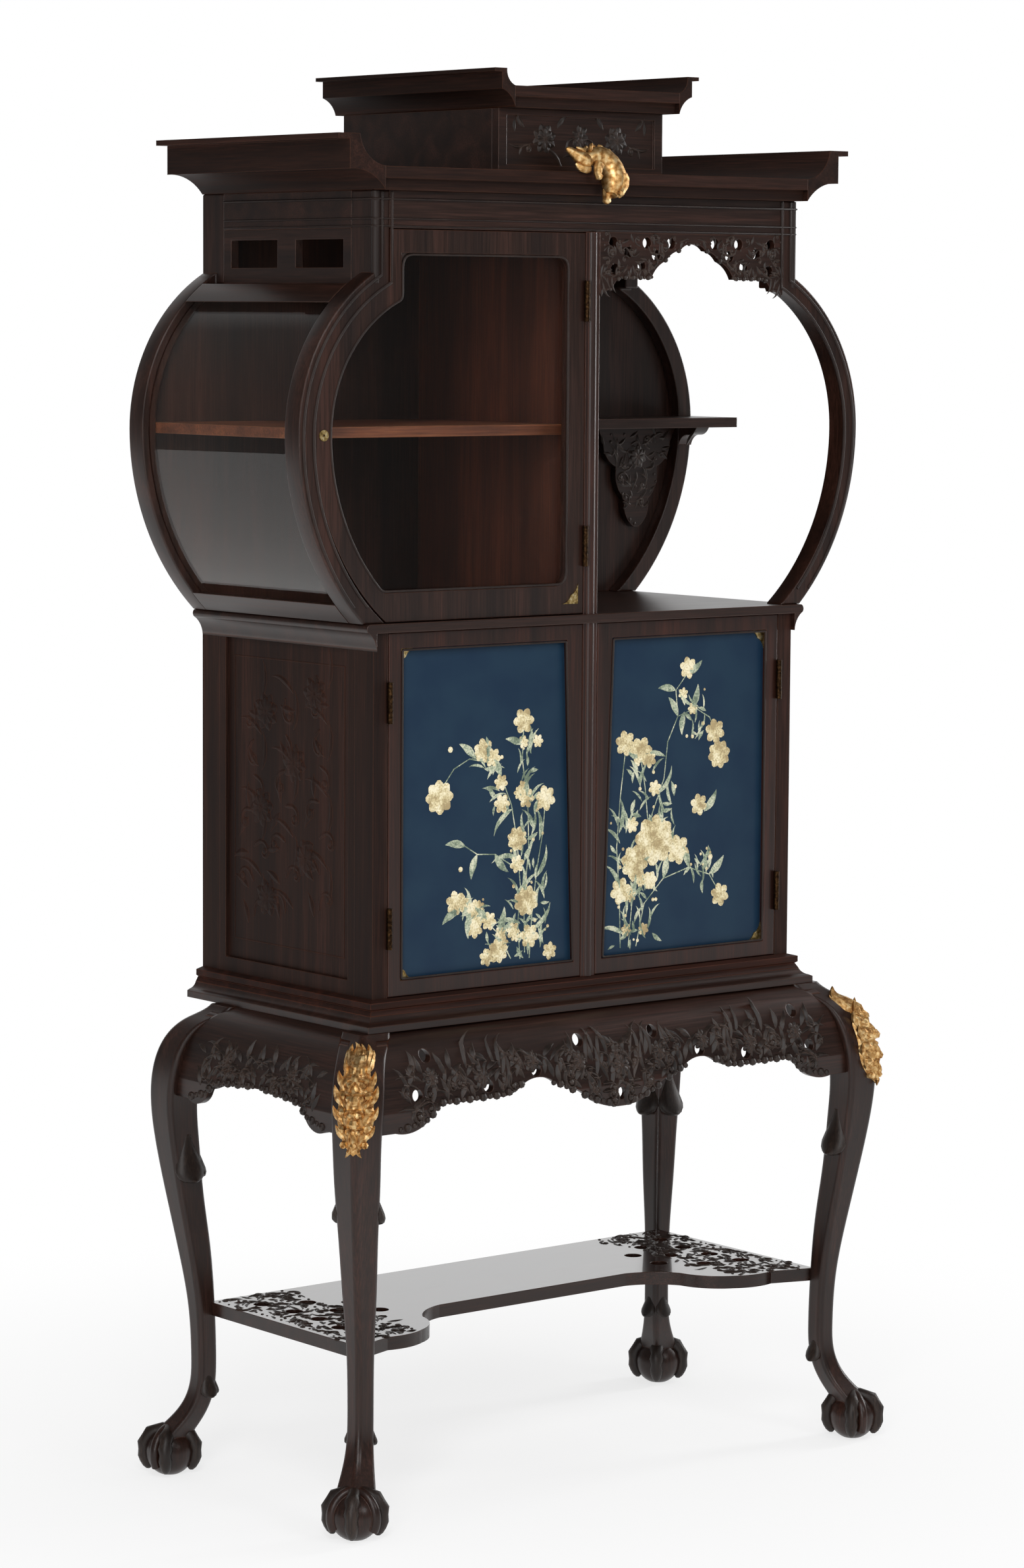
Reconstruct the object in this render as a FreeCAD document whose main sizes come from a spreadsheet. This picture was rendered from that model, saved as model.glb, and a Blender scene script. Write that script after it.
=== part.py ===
"""East Asian display cabinet on a cabriole stand, built piece by piece.

X runs to the right, Y to the back and Z up. The origin is on the floor, at the
centre of the four feet. All sizes are in millimetres.
"""
import FreeCAD, Part

import math
import os

import Sketcher
from FreeCAD import Placement, Rotation, Vector

doc = FreeCAD.newDocument("Cabinet")
sheet = doc.addObject("Spreadsheet::Sheet", "Sizes")

# Driving dimensions
SIZES = (
    # Uprights and case
    ("half_width", 365.0, "centre line to the outer face of a corner post"),
    ("front_face", 144.0, "origin forward to the front of the case"),
    ("back_face", 240.0, "origin back to the back of the cabinet"),
    ("post_width", 24.0, "corner post, seen from the front"),
    ("post_depth", 40.0, "corner post, seen from the side"),
    ("centre_post_width", 24.0, "post between the doors"),
    ("board", 12.0, "thickness of the carcass boards"),
    ("panel_field", 8.0, "thickness of a carved panel"),
    ("running_gap", 1.5, "clearance round a door"),
    ("seat_gap", 0.3, "clearance between moving and fixed pieces"),
    # Levels
    ("stand_top", 650.0, "floor to the top of the legs"),
    ("frame_height", 20.0, "moulded frame on top of the legs"),
    ("base_height", 20.0, "moulding under the case"),
    ("frame_outset", 26.0, "how far the frame moulding stands out from the case"),
    ("base_outset", 11.0, "how far the base moulding stands out from the case"),
    ("waist_outset", 12.0, "how far the waist between the mouldings stands out"),
    ("top_margin", 1.7, "foot of a curved post to the edge of the case top"),
    ("top_nosing", 8.0, "how far the case top stands out at the front"),
    ("cove_drop", 26.0, "coves under the sides of the case top"),
    ("frame_member", 60.0, "width of the hidden frame members"),
    ("case_height", 491.0, "lower case with its top board"),
    ("curve_rise", 244.0, "case top to the widest point of the curved posts"),
    ("display_height", 509.0, "case top to the underside of the frieze"),
    ("frieze_height", 48.0, "boards between the doors and the roof"),
    ("roof_thickness", 30.0, "main roof board"),
    ("top_box_height", 82.0, "walls of the small top box"),
    ("top_roof_thickness", 28.0, "roof board of the top box"),
    # Curved posts
    ("curve_bulge", 120.0, "how far the curved posts swing out past the case"),
    ("upper_radius", 240.0, "outer radius of the curved posts above the widest point"),
    ("lower_radius", 339.0, "outer radius of the curved posts below the widest point"),
    ("curve_depth", 32.0, "curved post, seen from the side"),
    ("upper_post_depth", 50.0, "straight top of a curved post, seen from the side"),
    # Lower doors
    ("door_thickness", 22.0, "all door frames"),
    ("door_rail", 20.0, "rails and outer stiles of the lower doors"),
    ("stile_top", 26.0, "inner stile of a lower door at its top"),
    ("stile_foot", 11.0, "inner stile of a lower door at its foot"),
    ("rebate_width", 5.0, "ledge that holds a panel or pane"),
    ("lacquer_thickness", 12.0, "lacquer panel of a lower door"),
    ("lacquer_recess", 7.0, "front of the frame to the lacquer"),
    # Display door and glass
    ("display_stile", 27.0, "stiles of the glazed door"),
    ("display_top_rail", 30.0, "top rail of the glazed door"),
    ("display_bottom_rail", 38.0, "bottom rail of the glazed door"),
    ("narrow_stile", 18.0, "stile beside the straight post"),
    ("opening_corner", 22.0, "rounded corners of the glazed opening"),
    ("glass", 4.0, "thickness of the panes"),
    ("glass_recess", 9.0, "front of the frame to the pane"),
    ("window_sill", 21.0, "rail below the small side windows"),
    ("window_head", 14.0, "rail above the small side windows"),
    ("window_length", 105.0, "small side windows"),
    ("window_post", 40.0, "upright between the small side windows"),
    # Shelves
    ("shelf_rise", 9.0, "widest point of the curve up to the top of the display shelf"),
    ("shelf_thickness", 14.0, "display and niche shelves"),
    ("niche_shelf_depth", 120.0, "niche shelf, front to back"),
    ("niche_apron_fall", 81.0, "pierced apron at the top of the niche, at its ends"),
    ("pendant_half", 74.0, "carved pendant under the niche shelf, half its width"),
    ("pendant_place", 62.0, "curved post to the middle of the pendant"),
    ("pendant_fall", 146.0, "carved pendant, height"),
    ("cupboard_shelf_rise", 240.0, "base to the top of the shelf behind the lower doors"),
    # Legs
    ("leg_outward", 43.0, "side of the case out to the middle of an ankle"),
    ("leg_forward", 34.0, "front of the case forward to the middle of an ankle"),
    ("knee_splay", 28.0, "ankle middle to knee middle, each way"),
    ("knee_half", 25.0, "half the side of the square leg at the knee"),
    ("leg_rounding", 7.0, "rounded edges of a leg"),
    ("foot_splay", 33.0, "ankle middle to foot middle, each way"),
    ("ball_radius", 33.0, "ball under a claw"),
    ("claw_radius", 7.0, "toes round the ball"),
    ("ball_flat", 3.0, "flat under the ball"),
    # Aprons and undershelf
    ("apron_thickness", 10.0, "bowed aprons of the stand"),
    ("apron_piercing", 8.5, "radius of a piercing in the front apron"),
    ("niche_piercing", 7.5, "radius of a piercing in the niche apron"),
    ("apron_setback", 12.0, "face of the leg back to the face of the apron"),
    ("apron_fall", 125.0, "depth of the aprons at their lowest point"),
    ("undershelf_top", 240.0, "floor to the top of the undershelf"),
    ("undershelf_thickness", 18.0, "undershelf board"),
    ("undershelf_front", 35.0, "origin forward to the front edge between the ends"),
    # Roof
    ("roof_overhang", 75.0, "side of the case out to the tip of the main roof"),
    ("roof_eaves", 23.0, "front of the case forward to the edge of the main roof"),
    ("flange_rise", 40.0, "how far a roof end turns up above the board"),
    ("flange_wall", 34.0, "thickness of the turned up end"),
    ("lip", 18.0, "how far the lip stands out at a roof end"),
    ("lip_height", 7.0, "thickness of the lip"),
    ("fascia_height", 38.0, "face below the lip"),
    ("top_box_wall", 14.0, "boards of the top box"),
    ("carving_depth", 3.0, "sunk ground of the top box front"),
    ("top_box_half", 142.0, "centre line to the side of the top box"),
    ("top_box_setback", 26.0, "front of the case back to the front of the top box"),
    ("top_box_inset", 19.0, "back of the cabinet forward to the back of the top box"),
    ("top_roof_overhang", 34.0, "side of the top box out to the tip of its roof"),
    ("top_roof_eaves", 35.0, "front of the top box forward to the edge of its roof"),
    ("top_flange_rise", 22.0, "how far an end of the top roof turns up"),
    ("top_flange_wall", 20.0, "thickness of a turned up end of the top roof"),
    ("top_lip", 12.0, "how far the lip of the top roof stands out"),
    ("top_lip_height", 5.0, "thickness of the lip of the top roof"),
    ("top_fascia_height", 22.0, "face below the lip of the top roof"),
    ("roof_step", 9.0, "lower half of a roof's front edge set back"),
    # Metalwork
    ("mount_thickness", 3.0, "gilt mounts"),
    ("hinge_pin", 4.0, "diameter of a hinge pin"),
    ("knuckle", 8.0, "diameter of a hinge knuckle"),
    ("knuckle_length", 18.0, "one knuckle of a hinge"),
    ("leaf_length", 56.0, "height of a hinge leaf"),
    ("leaf_thickness", 0.6, "hinge leaf"),
    ("leaf_width", 16.0, "hinge leaf, front to back"),
    ("hinge_inset", 90.0, "end of a door to the middle of its hinge"),
    ("overrun", 5.0, "extra length of a cutting tool"),
)

for row, (alias, value, meaning) in enumerate(SIZES, start=1):
    sheet.set(f"A{row}", alias)
    sheet.set(f"B{row}", str(value))
    sheet.set(f"C{row}", meaning)
    sheet.setAlias(f"B{row}", alias)
doc.recompute()


class Size:
    """A length in millimetres together with the sheet formula that it comes from."""

    def __init__(self, value, text):
        self.value = value
        self.text = text

    def combined(self, other, sign, result):
        other = as_size(other)
        return Size(result(self.value, other.value), f"({self.text} {sign} {other.text})")

    def __add__(self, other):
        return self.combined(other, "+", lambda a, b: a + b)

    def __sub__(self, other):
        return self.combined(other, "-", lambda a, b: a - b)

    def __mul__(self, other):
        return self.combined(other, "*", lambda a, b: a * b)

    def __truediv__(self, other):
        return self.combined(other, "/", lambda a, b: a / b)

    def __neg__(self):
        return Size(-self.value, f"(-{self.text})")


def as_size(number):
    if isinstance(number, Size):
        return number
    return Size(float(number), repr(float(number)))


def size(alias):
    return Size(float(sheet.get(alias)), f"Sizes.{alias}")


def root(square):
    """The square root of a Size."""
    return Size(math.sqrt(square.value), f"sqrt({square.text})")


ZERO = as_size(0)


class Bend:
    """An arc of an outline: where it ends, its radius, and +1 if it turns to the left."""

    def __init__(self, end, radius, turn):
        self.end = end
        self.radius = radius
        self.turn = turn


def chord(start, end):
    """The distance between two points."""
    across, along = end[0] - start[0], end[1] - start[1]
    return root(across * across + along * along)


def bow(start, end, radius_share, turn):
    """An arc whose radius is a share of the distance that it spans."""
    return Bend(end, chord(start, end) * radius_share, turn)


class Hole:
    """A round hole of an outline."""

    def __init__(self, centre, radius):
        self.centre = centre
        self.radius = radius


def arc_between(start, end, step):
    """The arc from start to end, which a sketch always draws to the left."""
    first = Vector(start[0].value, start[1].value, 0)
    last = Vector(end[0].value, end[1].value, 0)
    chord = last - first
    height = math.sqrt(max(step.radius.value ** 2 - (chord.Length / 2) ** 2, 0))
    across = Vector(-chord.y, chord.x, 0).normalize()
    centre = (first + last) / 2 + across * height * step.turn
    circle = Part.Circle(centre, Vector(0, 0, 1), step.radius.value)
    if step.turn < 0:
        first, last = last, first
    angles = [math.atan2((point - centre).y, (point - centre).x) for point in (first, last)]
    if angles[1] < angles[0]:
        angles[1] += 2 * math.pi
    return Part.ArcOfCircle(circle, *angles)


def pin_point(constraints, formulas, geometry, end, point):
    """Ties one point of a sketch to the sheet, each way."""
    for kind, axis, coordinate in (("DistanceX", -2, point[0]), ("DistanceY", -1, point[1])):
        if coordinate is ZERO:
            constraints.append(Sketcher.Constraint("PointOnObject", geometry, end, axis))
        else:
            formulas.append((len(constraints), coordinate))
            constraints.append(Sketcher.Constraint(kind, -1, 1, geometry, end, coordinate.value))


def draw_path(sketch, points):
    """Draws an open run of straight lines through points that follow the sheet."""
    shapes = []
    constraints = []
    formulas = []
    for number in range(1, len(points)):
        ends = [Vector(u.value, v.value, 0) for u, v in points[number - 1:number + 1]]
        shapes.append(Part.LineSegment(*ends))
        if number == 1:
            pin_point(constraints, formulas, 0, 1, points[0])
        else:
            constraints.append(Sketcher.Constraint("Coincident", number - 2, 2, number - 1, 1))
        pin_point(constraints, formulas, number - 1, 2, points[number])
    sketch.addGeometry(shapes, False)
    sketch.addConstraint(constraints)
    for number, length in formulas:
        sketch.setExpression(f"Constraints[{number}]", length.text)


def draw(sketch, outlines):
    """Draws closed outlines whose points and radii all follow the sheet."""
    shapes = []
    constraints = []
    formulas = []
    for outline in outlines:
        if isinstance(outline, Hole):
            centre = Vector(outline.centre[0].value, outline.centre[1].value, 0)
            pin_point(constraints, formulas, len(shapes), 3, outline.centre)
            formulas.append((len(constraints), outline.radius))
            constraints.append(Sketcher.Constraint("Radius", len(shapes), outline.radius.value))
            shapes.append(Part.Circle(centre, Vector(0, 0, 1), outline.radius.value))
            continue
        corners = [step.end if isinstance(step, Bend) else step for step in outline]
        first = len(shapes)
        ends = []
        for number, step in enumerate(outline):
            start = corners[number - 1]
            if isinstance(step, Bend):
                formulas.append((len(constraints), step.radius))
                constraints.append(Sketcher.Constraint("Radius", len(shapes), step.radius.value))
                shapes.append(arc_between(start, step.end, step))
                ends.append((1, 2) if step.turn > 0 else (2, 1))
            else:
                shapes.append(Part.LineSegment(Vector(start[0].value, start[1].value, 0),
                                               Vector(step[0].value, step[1].value, 0)))
                ends.append((1, 2))
            pin_point(constraints, formulas, len(shapes) - 1, ends[-1][1], corners[number])
        for number in range(len(outline)):
            before = number - 1 if number else len(outline) - 1
            constraints.append(Sketcher.Constraint("Coincident", first + before, ends[before][1],
                                                   first + number, ends[number][0]))
    sketch.addGeometry(shapes, False)
    sketch.addConstraint(constraints)
    for number, length in formulas:
        sketch.setExpression(f"Constraints[{number}]", length.text)


def new_body(name):
    return doc.addObject("PartDesign::Body", name)


def empty_sketch(body, plane, level):
    """A sketch on one of the body's own planes, moved to a level along that plane's axis."""
    sketch = body.newObject("Sketcher::SketchObject", f"{body.Name}_outline")
    origin_plane = [item for item in body.Origin.OriginFeatures if item.Role == f"{plane}_Plane"]
    sketch.AttachmentSupport = (origin_plane[0], "")
    sketch.MapMode = "FlatFace"
    offset = -level if plane == "XZ" else level
    sketch.setExpression("AttachmentOffset.Base.z", offset.text)
    return sketch


def sketch_on(body, plane, level, outlines):
    sketch = empty_sketch(body, plane, level)
    draw(sketch, outlines)
    return sketch


def pad(body, plane, low, high, *outlines):
    """Fills outlines between two levels. The front plane's axis points forward."""
    level = high if plane == "XZ" else low
    feature = body.newObject("PartDesign::Pad", f"{body.Name}_pad")
    feature.Profile = sketch_on(body, plane, level, outlines)
    feature.setExpression("Length", (high - low).text)
    return body


def pocket(body, plane, low, high, *outlines):
    """Cuts outlines away between two levels."""
    level = low if plane == "XZ" else high
    feature = body.newObject("PartDesign::Pocket", f"{body.Name}_pocket")
    feature.Profile = sketch_on(body, plane, level, outlines)
    feature.setExpression("Length", (high - low).text)
    return body


def slab(name, plane, low, high, *outlines):
    return pad(new_body(name), plane, low, high, *outlines)


def block(name, x, y, z):
    """A square-edged board between two planes each way."""
    box = doc.addObject("Part::Box", name)
    for side, (low, high) in zip(("Length", "Width", "Height"), (x, y, z)):
        box.setExpression(side, (high - low).text)
    for axis, (low, high) in zip("xyz", (x, y, z)):
        box.setExpression(f"Placement.Base.{axis}", low.text)
    return box


def rod(name, centre, radius, low, high):
    """An upright round bar."""
    bar = doc.addObject("Part::Cylinder", name)
    bar.setExpression("Radius", radius.text)
    bar.setExpression("Height", (high - low).text)
    for axis, place in zip("xyz", (*centre, low)):
        bar.setExpression(f"Placement.Base.{axis}", place.text)
    return bar


def joined(name, *members):
    union = doc.addObject("Part::MultiFuse", name)
    union.Shapes = list(members)
    return union


def grouped(name, *members):
    """Separate solids that share a name."""
    group = doc.addObject("Part::Compound", name)
    group.Links = list(members)
    return group


def cut(name, base, *tools):
    difference = doc.addObject("Part::Cut", name)
    difference.Base = base
    difference.Tool = tools[0] if len(tools) == 1 else joined(f"{name}_tools", *tools)
    return difference


def common(name, first, second):
    overlap = doc.addObject("Part::Common", name)
    overlap.Base = first
    overlap.Tool = second
    return overlap


def mirrored(name, source, normal):
    image = doc.addObject("Part::Mirroring", name)
    image.Source = source
    image.Normal = normal
    return image


def ordered(first, second):
    """Two places, the lower one first."""
    return (first, second) if first.value < second.value else (second, first)


def rectangle(u, v):
    return [(u[0], v[0]), (u[1], v[0]), (u[1], v[1]), (u[0], v[1])]


def flipped(outline):
    """The same outline on the other side of the centre line."""
    result = []
    for step in outline:
        if isinstance(step, Bend):
            result.append(Bend((-step.end[0], step.end[1]), step.radius, -step.turn))
        elif isinstance(step, Hole):
            result.append(Hole((-step.centre[0], step.centre[1]), step.radius))
        else:
            result.append((-step[0], step[1]))
    return result


def shifted(outline, distance):
    """The same open outline moved along."""
    return [Bend((step.end[0] + distance, step.end[1]), step.radius, step.turn)
            if isinstance(step, Bend) else (step[0] + distance, step[1]) for step in outline]


def on_side(side, outline):
    """An outline drawn for the right side, or its image for the left side."""
    return outline if side > 0 else flipped(outline)


# The main planes, worked out from the driving dimensions
OUTER = size("half_width")
INNER = OUTER - size("post_width")
FRONT = -size("front_face")
BACK = size("back_face")
FRAME_TOP = size("stand_top") + size("frame_height")
CASE_BOTTOM = FRAME_TOP + size("base_height")
CASE_TOP = CASE_BOTTOM + size("case_height")
TOP_BOARD = CASE_TOP - size("board")
FRIEZE_BOTTOM = CASE_TOP + size("display_height")
ROOF_BOTTOM = FRIEZE_BOTTOM + size("frieze_height")
ROOF_TOP = ROOF_BOTTOM + size("roof_thickness")
BOX_TOP = ROOF_TOP + size("top_box_height")
TOP_ROOF_TOP = BOX_TOP + size("top_roof_thickness")
POST_HALF = size("centre_post_width") / 2
GAP = size("running_gap")
DOOR_BACK = FRONT + size("door_thickness")
LEVEL = CASE_TOP + size("curve_rise")
REACH = OUTER + size("curve_bulge")
SHELF_TOP = LEVEL + size("shelf_rise")
BACK_BOARD = BACK - size("board")
LEG_REACH = OUTER + size("leg_outward")
LEG_OFFSET = LEG_REACH - size("front_face") - size("leg_forward")

SIDES = (("left", -1), ("right", 1))


def upper_x(inset, level):
    """How far out the curved post lies at a level above its widest point."""
    radius = size("upper_radius") - inset
    rise = level - LEVEL
    return REACH - size("upper_radius") + root(radius * radius - rise * rise)


def lower_x(inset, level):
    """How far out the curved post lies at a level below its widest point."""
    radius = size("lower_radius") - inset
    drop = LEVEL - level
    return REACH - size("lower_radius") + root(radius * radius - drop * drop)


def upper_level(inset, place):
    """The level at which the upper curve comes in to a place."""
    radius = size("upper_radius") - inset
    run = place - REACH + size("upper_radius")
    return LEVEL + root(radius * radius - run * run)


# Where the inner face of the curve runs into the straight top of its post
CURVE_END = upper_level(size("post_width"), INNER)


def curve_down(inset, bottom):
    """The curve from its upper end down to a level, on the right side."""
    return [Bend((REACH - inset, LEVEL), size("upper_radius") - inset, -1),
            Bend((lower_x(inset, bottom), bottom), size("lower_radius") - inset, -1)]


def curve_up(inset, top_point):
    """The curve from its foot up to a point, on the right side."""
    return [Bend((REACH - inset, LEVEL), size("lower_radius") - inset, 1),
            Bend(top_point, size("upper_radius") - inset, 1)]


# Legs: height share, share of the splay and share of the thickness at the knee
LEG_SHARES = (
    (1.0, -1.06, 0.95), (0.966, -0.13, 0.98), (0.925, 0.52, 1.02), (0.862, 0.89, 1.04),
    (0.815, 1.0, 1.0), (0.708, 0.9, 0.93), (0.603, 0.66, 0.82), (0.483, 0.32, 0.72),
    (0.363, 0.07, 0.6), (0.25, -0.01, 0.57), (0.19, 0.05, 0.58), (0.155, 0.23, 0.62),
    (0.11, 0.72, 0.75), (0.07, 1.16, 0.8),
)
TOE_TURNS = (0, 62, -62, 180)
TOE_SWEEP = 105
TOE_START = -28


def leg_corner(height_share, splay_share, thickness_share):
    """Middle of a leg, sideways, and half its side at one height."""
    middle = LEG_REACH + size("knee_splay") * splay_share
    half = size("knee_half") * thickness_share
    return middle, half, size("stand_top") * height_share


def rounded_square(middle, forward, half, rounding):
    left, right = -middle - half, -middle + half
    front, back = -forward - half, -forward + half
    return [(right - rounding, front),
            Bend((right, front + rounding), rounding, 1), (right, back - rounding),
            Bend((right - rounding, back), rounding, 1), (left + rounding, back),
            Bend((left, back - rounding), rounding, 1), (left, front + rounding),
            Bend((left + rounding, front), rounding, 1)]


def leg_loft(name, extra, shares):
    """The swelling leg itself, grown by extra all round."""
    body = new_body(name)
    sections = []
    for share in shares:
        middle, half, level = leg_corner(*share)
        outline = rounded_square(middle, middle - LEG_OFFSET, half + extra,
                                 size("leg_rounding"))
        sections.append(sketch_on(body, "XY", level, [outline]))
    loft = body.newObject("PartDesign::AdditiveLoft", f"{name}_loft")
    loft.Profile = sections[0]
    loft.Sections = sections[1:]
    return body


def claw_foot():
    """A ball held by four toes, under the front left leg."""
    radius = size("ball_radius")
    middle = LEG_REACH + size("foot_splay")
    centre = (-middle, LEG_OFFSET - middle, radius - size("ball_flat"))
    ball = doc.addObject("Part::Sphere", "foot_ball")
    ball.setExpression("Radius", radius.text)
    parts = [ball]
    for number, turn in enumerate(TOE_TURNS):
        toe = doc.addObject("Part::Torus", f"foot_toe_{number}")
        toe.setExpression("Radius1", radius.text)
        toe.setExpression("Radius2", size("claw_radius").text)
        toe.Angle3 = TOE_SWEEP
        outward = Rotation(Vector(0, 0, 1), 225 + turn)
        upright = Rotation(Vector(1, 0, 0), 90)
        toe.Placement = Placement(Vector(), outward * upright * Rotation(Vector(0, 0, 1), TOE_START))
        parts.append(toe)
    for part in parts:
        for axis, place in zip("xyz", centre):
            part.setExpression(f"Placement.Base.{axis}", place.text)
    return parts


def make_legs():
    reach = (LEG_REACH + size("foot_splay") + size("ball_radius") + size("claw_radius")
             + size("overrun"))
    floor = block("floor_cutter", (-reach, ZERO), (-reach, ZERO), (-size("ball_radius"), ZERO))
    shaft = leg_loft("leg_shaft", ZERO, LEG_SHARES)
    whole = joined("leg_whole", shaft, *claw_foot())
    front_left = cut("leg_front_left", whole, floor)
    front_right = mirrored("leg_front_right", front_left, Vector(1, 0, 0))
    back_left = mirrored("leg_back_left", front_left, Vector(0, 1, 0))
    back_right = mirrored("leg_back_right", back_left, Vector(1, 0, 0))
    return front_left, front_right, back_left, back_right


# Lower edge of an apron from its middle outwards: place share, depth share, and the radius
# share and turn of the bow that leads there, or no radius for a straight run
FRONT_EDGE_SHARES = (
    (0, 1.02, 0, 0), (0.11, 0.93, 1.95, 1), (0.25, 0.7, 1.94, -1), (0.39, 0.66, 0.85, -1),
    (0.46, 0.75, 2.0, 1), (0.7, 0.75, 0, 0), (0.765, 0.93, 2.4, -1), (0.88, 0.99, 1.2, 1),
)
SIDE_EDGE_SHARES = (
    (0, 0.71, 0, 0), (0.36, 0.755, 4.4, -1), (0.485, 0.78, 0, 0), (0.54, 0.9, 2.2, -1),
    (0.76, 0.98, 0.71, 1),
)
PIERCING_SHARES = ((0.15, 0.27), (0.33, 0.52), (0.52, 0.62), (0.74, 0.24), (0.79, 0.63))
SHOULDER_SHARE = 0.42
BELLY_SHARE = 0.78
SWELL_SHARE = 0.97
APRON_FOOT_SHARE = 1.2


def share_of(length, share):
    return ZERO if share == 0 else length * share


def one_side(edge_shares, sign, half, top, fall):
    """The points of a shaped edge on one side of its middle, going outwards."""
    return [(share_of(half, sign * place), top - fall * depth)
            for place, depth, radius_share, turn in edge_shares]


def scalloped(edge_shares, half, top, fall):
    """A shaped lower edge from its left end to its right end."""
    left = one_side(edge_shares, -1, half, top, fall)
    right = one_side(edge_shares, 1, half, top, fall)
    steps = [left[-1]]
    for number in range(len(edge_shares) - 1, 0, -1):
        radius_share, turn = edge_shares[number][2:]
        end = left[number - 1]
        steps.append(bow(left[number], end, radius_share, turn) if radius_share else end)
    if edge_shares[0][0]:
        steps.append(right[0])
    for number in range(1, len(edge_shares)):
        radius_share, turn = edge_shares[number][2:]
        end = right[number]
        steps.append(bow(right[number - 1], end, radius_share, turn) if radius_share else end)
    return steps


def apron_outline(edge_shares, leg_offset):
    """An apron seen square on: its ends follow the middles of the legs."""
    corners = [leg_corner(*LEG_SHARES[number]) for number in (0, 2, 4)]
    ends = [(middle - leg_offset, level) for middle, half, level in corners]
    half = ends[2][0]
    fall = size("apron_fall")
    lower = scalloped(edge_shares, half, size("stand_top"), fall)
    foot = size("stand_top") - fall * edge_shares[-1][1]
    right = [(half, foot), ends[2], ends[1], ends[0]]
    left = [(-place, level) for place, level in reversed(right)]
    return left + lower + right


def bowed_profile(leg_offset):
    """An apron cut across, outwards to the left: it swells out below the frame."""
    middle, half, top = leg_corner(*LEG_SHARES[0])
    face_middle, face_half, face_level = leg_corner(*LEG_SHARES[4])
    inward = leg_offset + size("apron_setback")
    brow = middle + half - inward
    face = face_middle + face_half - inward
    wall = size("apron_thickness")
    fall = size("apron_fall")
    shoulder = top - fall * SHOULDER_SHARE
    belly = top - fall * BELLY_SHARE
    foot = top - fall * APRON_FOOT_SHARE
    swell = face - wall * SWELL_SHARE
    return [(-brow, top), bow((-brow, top), (-swell, shoulder), 0.9, 1), (-face, belly),
            (-face, foot), (wall - face, foot), (wall - face, belly), (wall - swell, shoulder),
            bow((wall - swell, shoulder), (wall - brow, top), 0.9, -1)]


def apron_piercings(half):
    radius = size("apron_piercing")
    top, fall = size("stand_top"), size("apron_fall")
    holes = [Hole((ZERO, top - fall * 0.88), radius)]
    for place_share, depth_share in PIERCING_SHARES:
        for sign in (-1, 1):
            holes.append(Hole((half * (sign * place_share), top - fall * depth_share), radius))
    return holes


def make_aprons(legs):
    front_left, front_right, back_left, back_right = legs
    reach = LEG_REACH + size("knee_splay")
    depth = reach - LEG_OFFSET
    outside = reach + size("knee_half")
    front_outside = outside - LEG_OFFSET
    offset = LEG_OFFSET
    tops = []
    for name, turn, tools in (("front", 1, (front_left, front_right)),
                              ("back", -1, (back_left, back_right))):
        profile = bowed_profile(offset)
        near, far = -front_outside, -(depth * 0.4)
        if turn < 0:
            profile = flipped(profile)
            near, far = depth * 0.4, front_outside
        bowed = slab(f"apron_{name}_board", "YZ", -reach, reach, profile)
        outlines = [apron_outline(FRONT_EDGE_SHARES, ZERO)]
        if turn > 0:
            outlines += apron_piercings(reach)
        fret = slab(f"apron_{name}_fret", "XZ", near, far, *outlines)
        tops.append(cut(f"apron_{name}", common(f"apron_{name}_blank", bowed, fret), *tools))
    for name, sign, tools in (("left", 1, (front_left, back_left)),
                              ("right", -1, (front_right, back_right))):
        profile = bowed_profile(ZERO)
        near, far = -outside, -(reach * 0.7)
        if sign < 0:
            profile = flipped(profile)
            near, far = reach * 0.7, outside
        bowed = slab(f"apron_{name}_board", "XZ", -depth, depth, profile)
        fret = slab(f"apron_{name}_fret", "YZ", near, far, apron_outline(SIDE_EDGE_SHARES, offset))
        tops.append(cut(f"apron_{name}", common(f"apron_{name}_blank", bowed, fret), *tools))
    return tops


# Front edge of the undershelf, as for the aprons, and its piercings
SHELF_EDGE_SHARES = (
    (0.42, 0, 0, 0), (0.58, 0.34, 1.23, -1), (0.7, 0.8, 1.03, 1), (0.86, 0.86, 1.24, 1),
    (1.02, 1.02, 0, 0),
)
SHELF_HOLE_SHARES = ((0.9, 0.66), (0.88, 0.3), (0.88, -0.04), (0.9, -0.38), (0.76, 0.5),
                     (0.75, 0.12), (0.76, -0.3), (0.64, 0.3), (0.63, -0.06))


def make_undershelf(legs):
    inner = LEG_REACH - size("knee_half") * 0.5
    back = LEG_REACH - LEG_OFFSET - size("knee_half") * 0.32
    front = size("undershelf_front")
    run = inner - LEG_OFFSET - front
    edge = scalloped(SHELF_EDGE_SHARES, inner, -front, run)
    corners = [(inner * 1.02, back), (inner * -1.02, back)]
    holes = [Hole((inner * (sign * across), back * along), size("claw_radius") * 1.8)
             for across, along in SHELF_HOLE_SHARES for sign in (-1, 1)]
    top = size("undershelf_top")
    blank = slab("undershelf_blank", "XY", top - size("undershelf_thickness"), top,
                 edge + corners, *holes)
    return cut("undershelf", blank, *legs)


def moulding(body, outline):
    """Sweeps an outline, drawn at the back left, round the left, front and right."""
    sweep = body.newObject("PartDesign::AdditivePipe", f"{body.Name}_sweep")
    profile = sketch_on(body, "XZ", BACK, [flipped(outline)])
    spine = empty_sketch(body, "XY", ZERO)
    draw_path(spine, [(-OUTER, BACK), (-OUTER, FRONT), (OUTER, FRONT), (OUTER, BACK)])
    sweep.Profile = profile
    sweep.Spine = (spine, [""])
    sweep.Transition = "Right corner"


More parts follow.
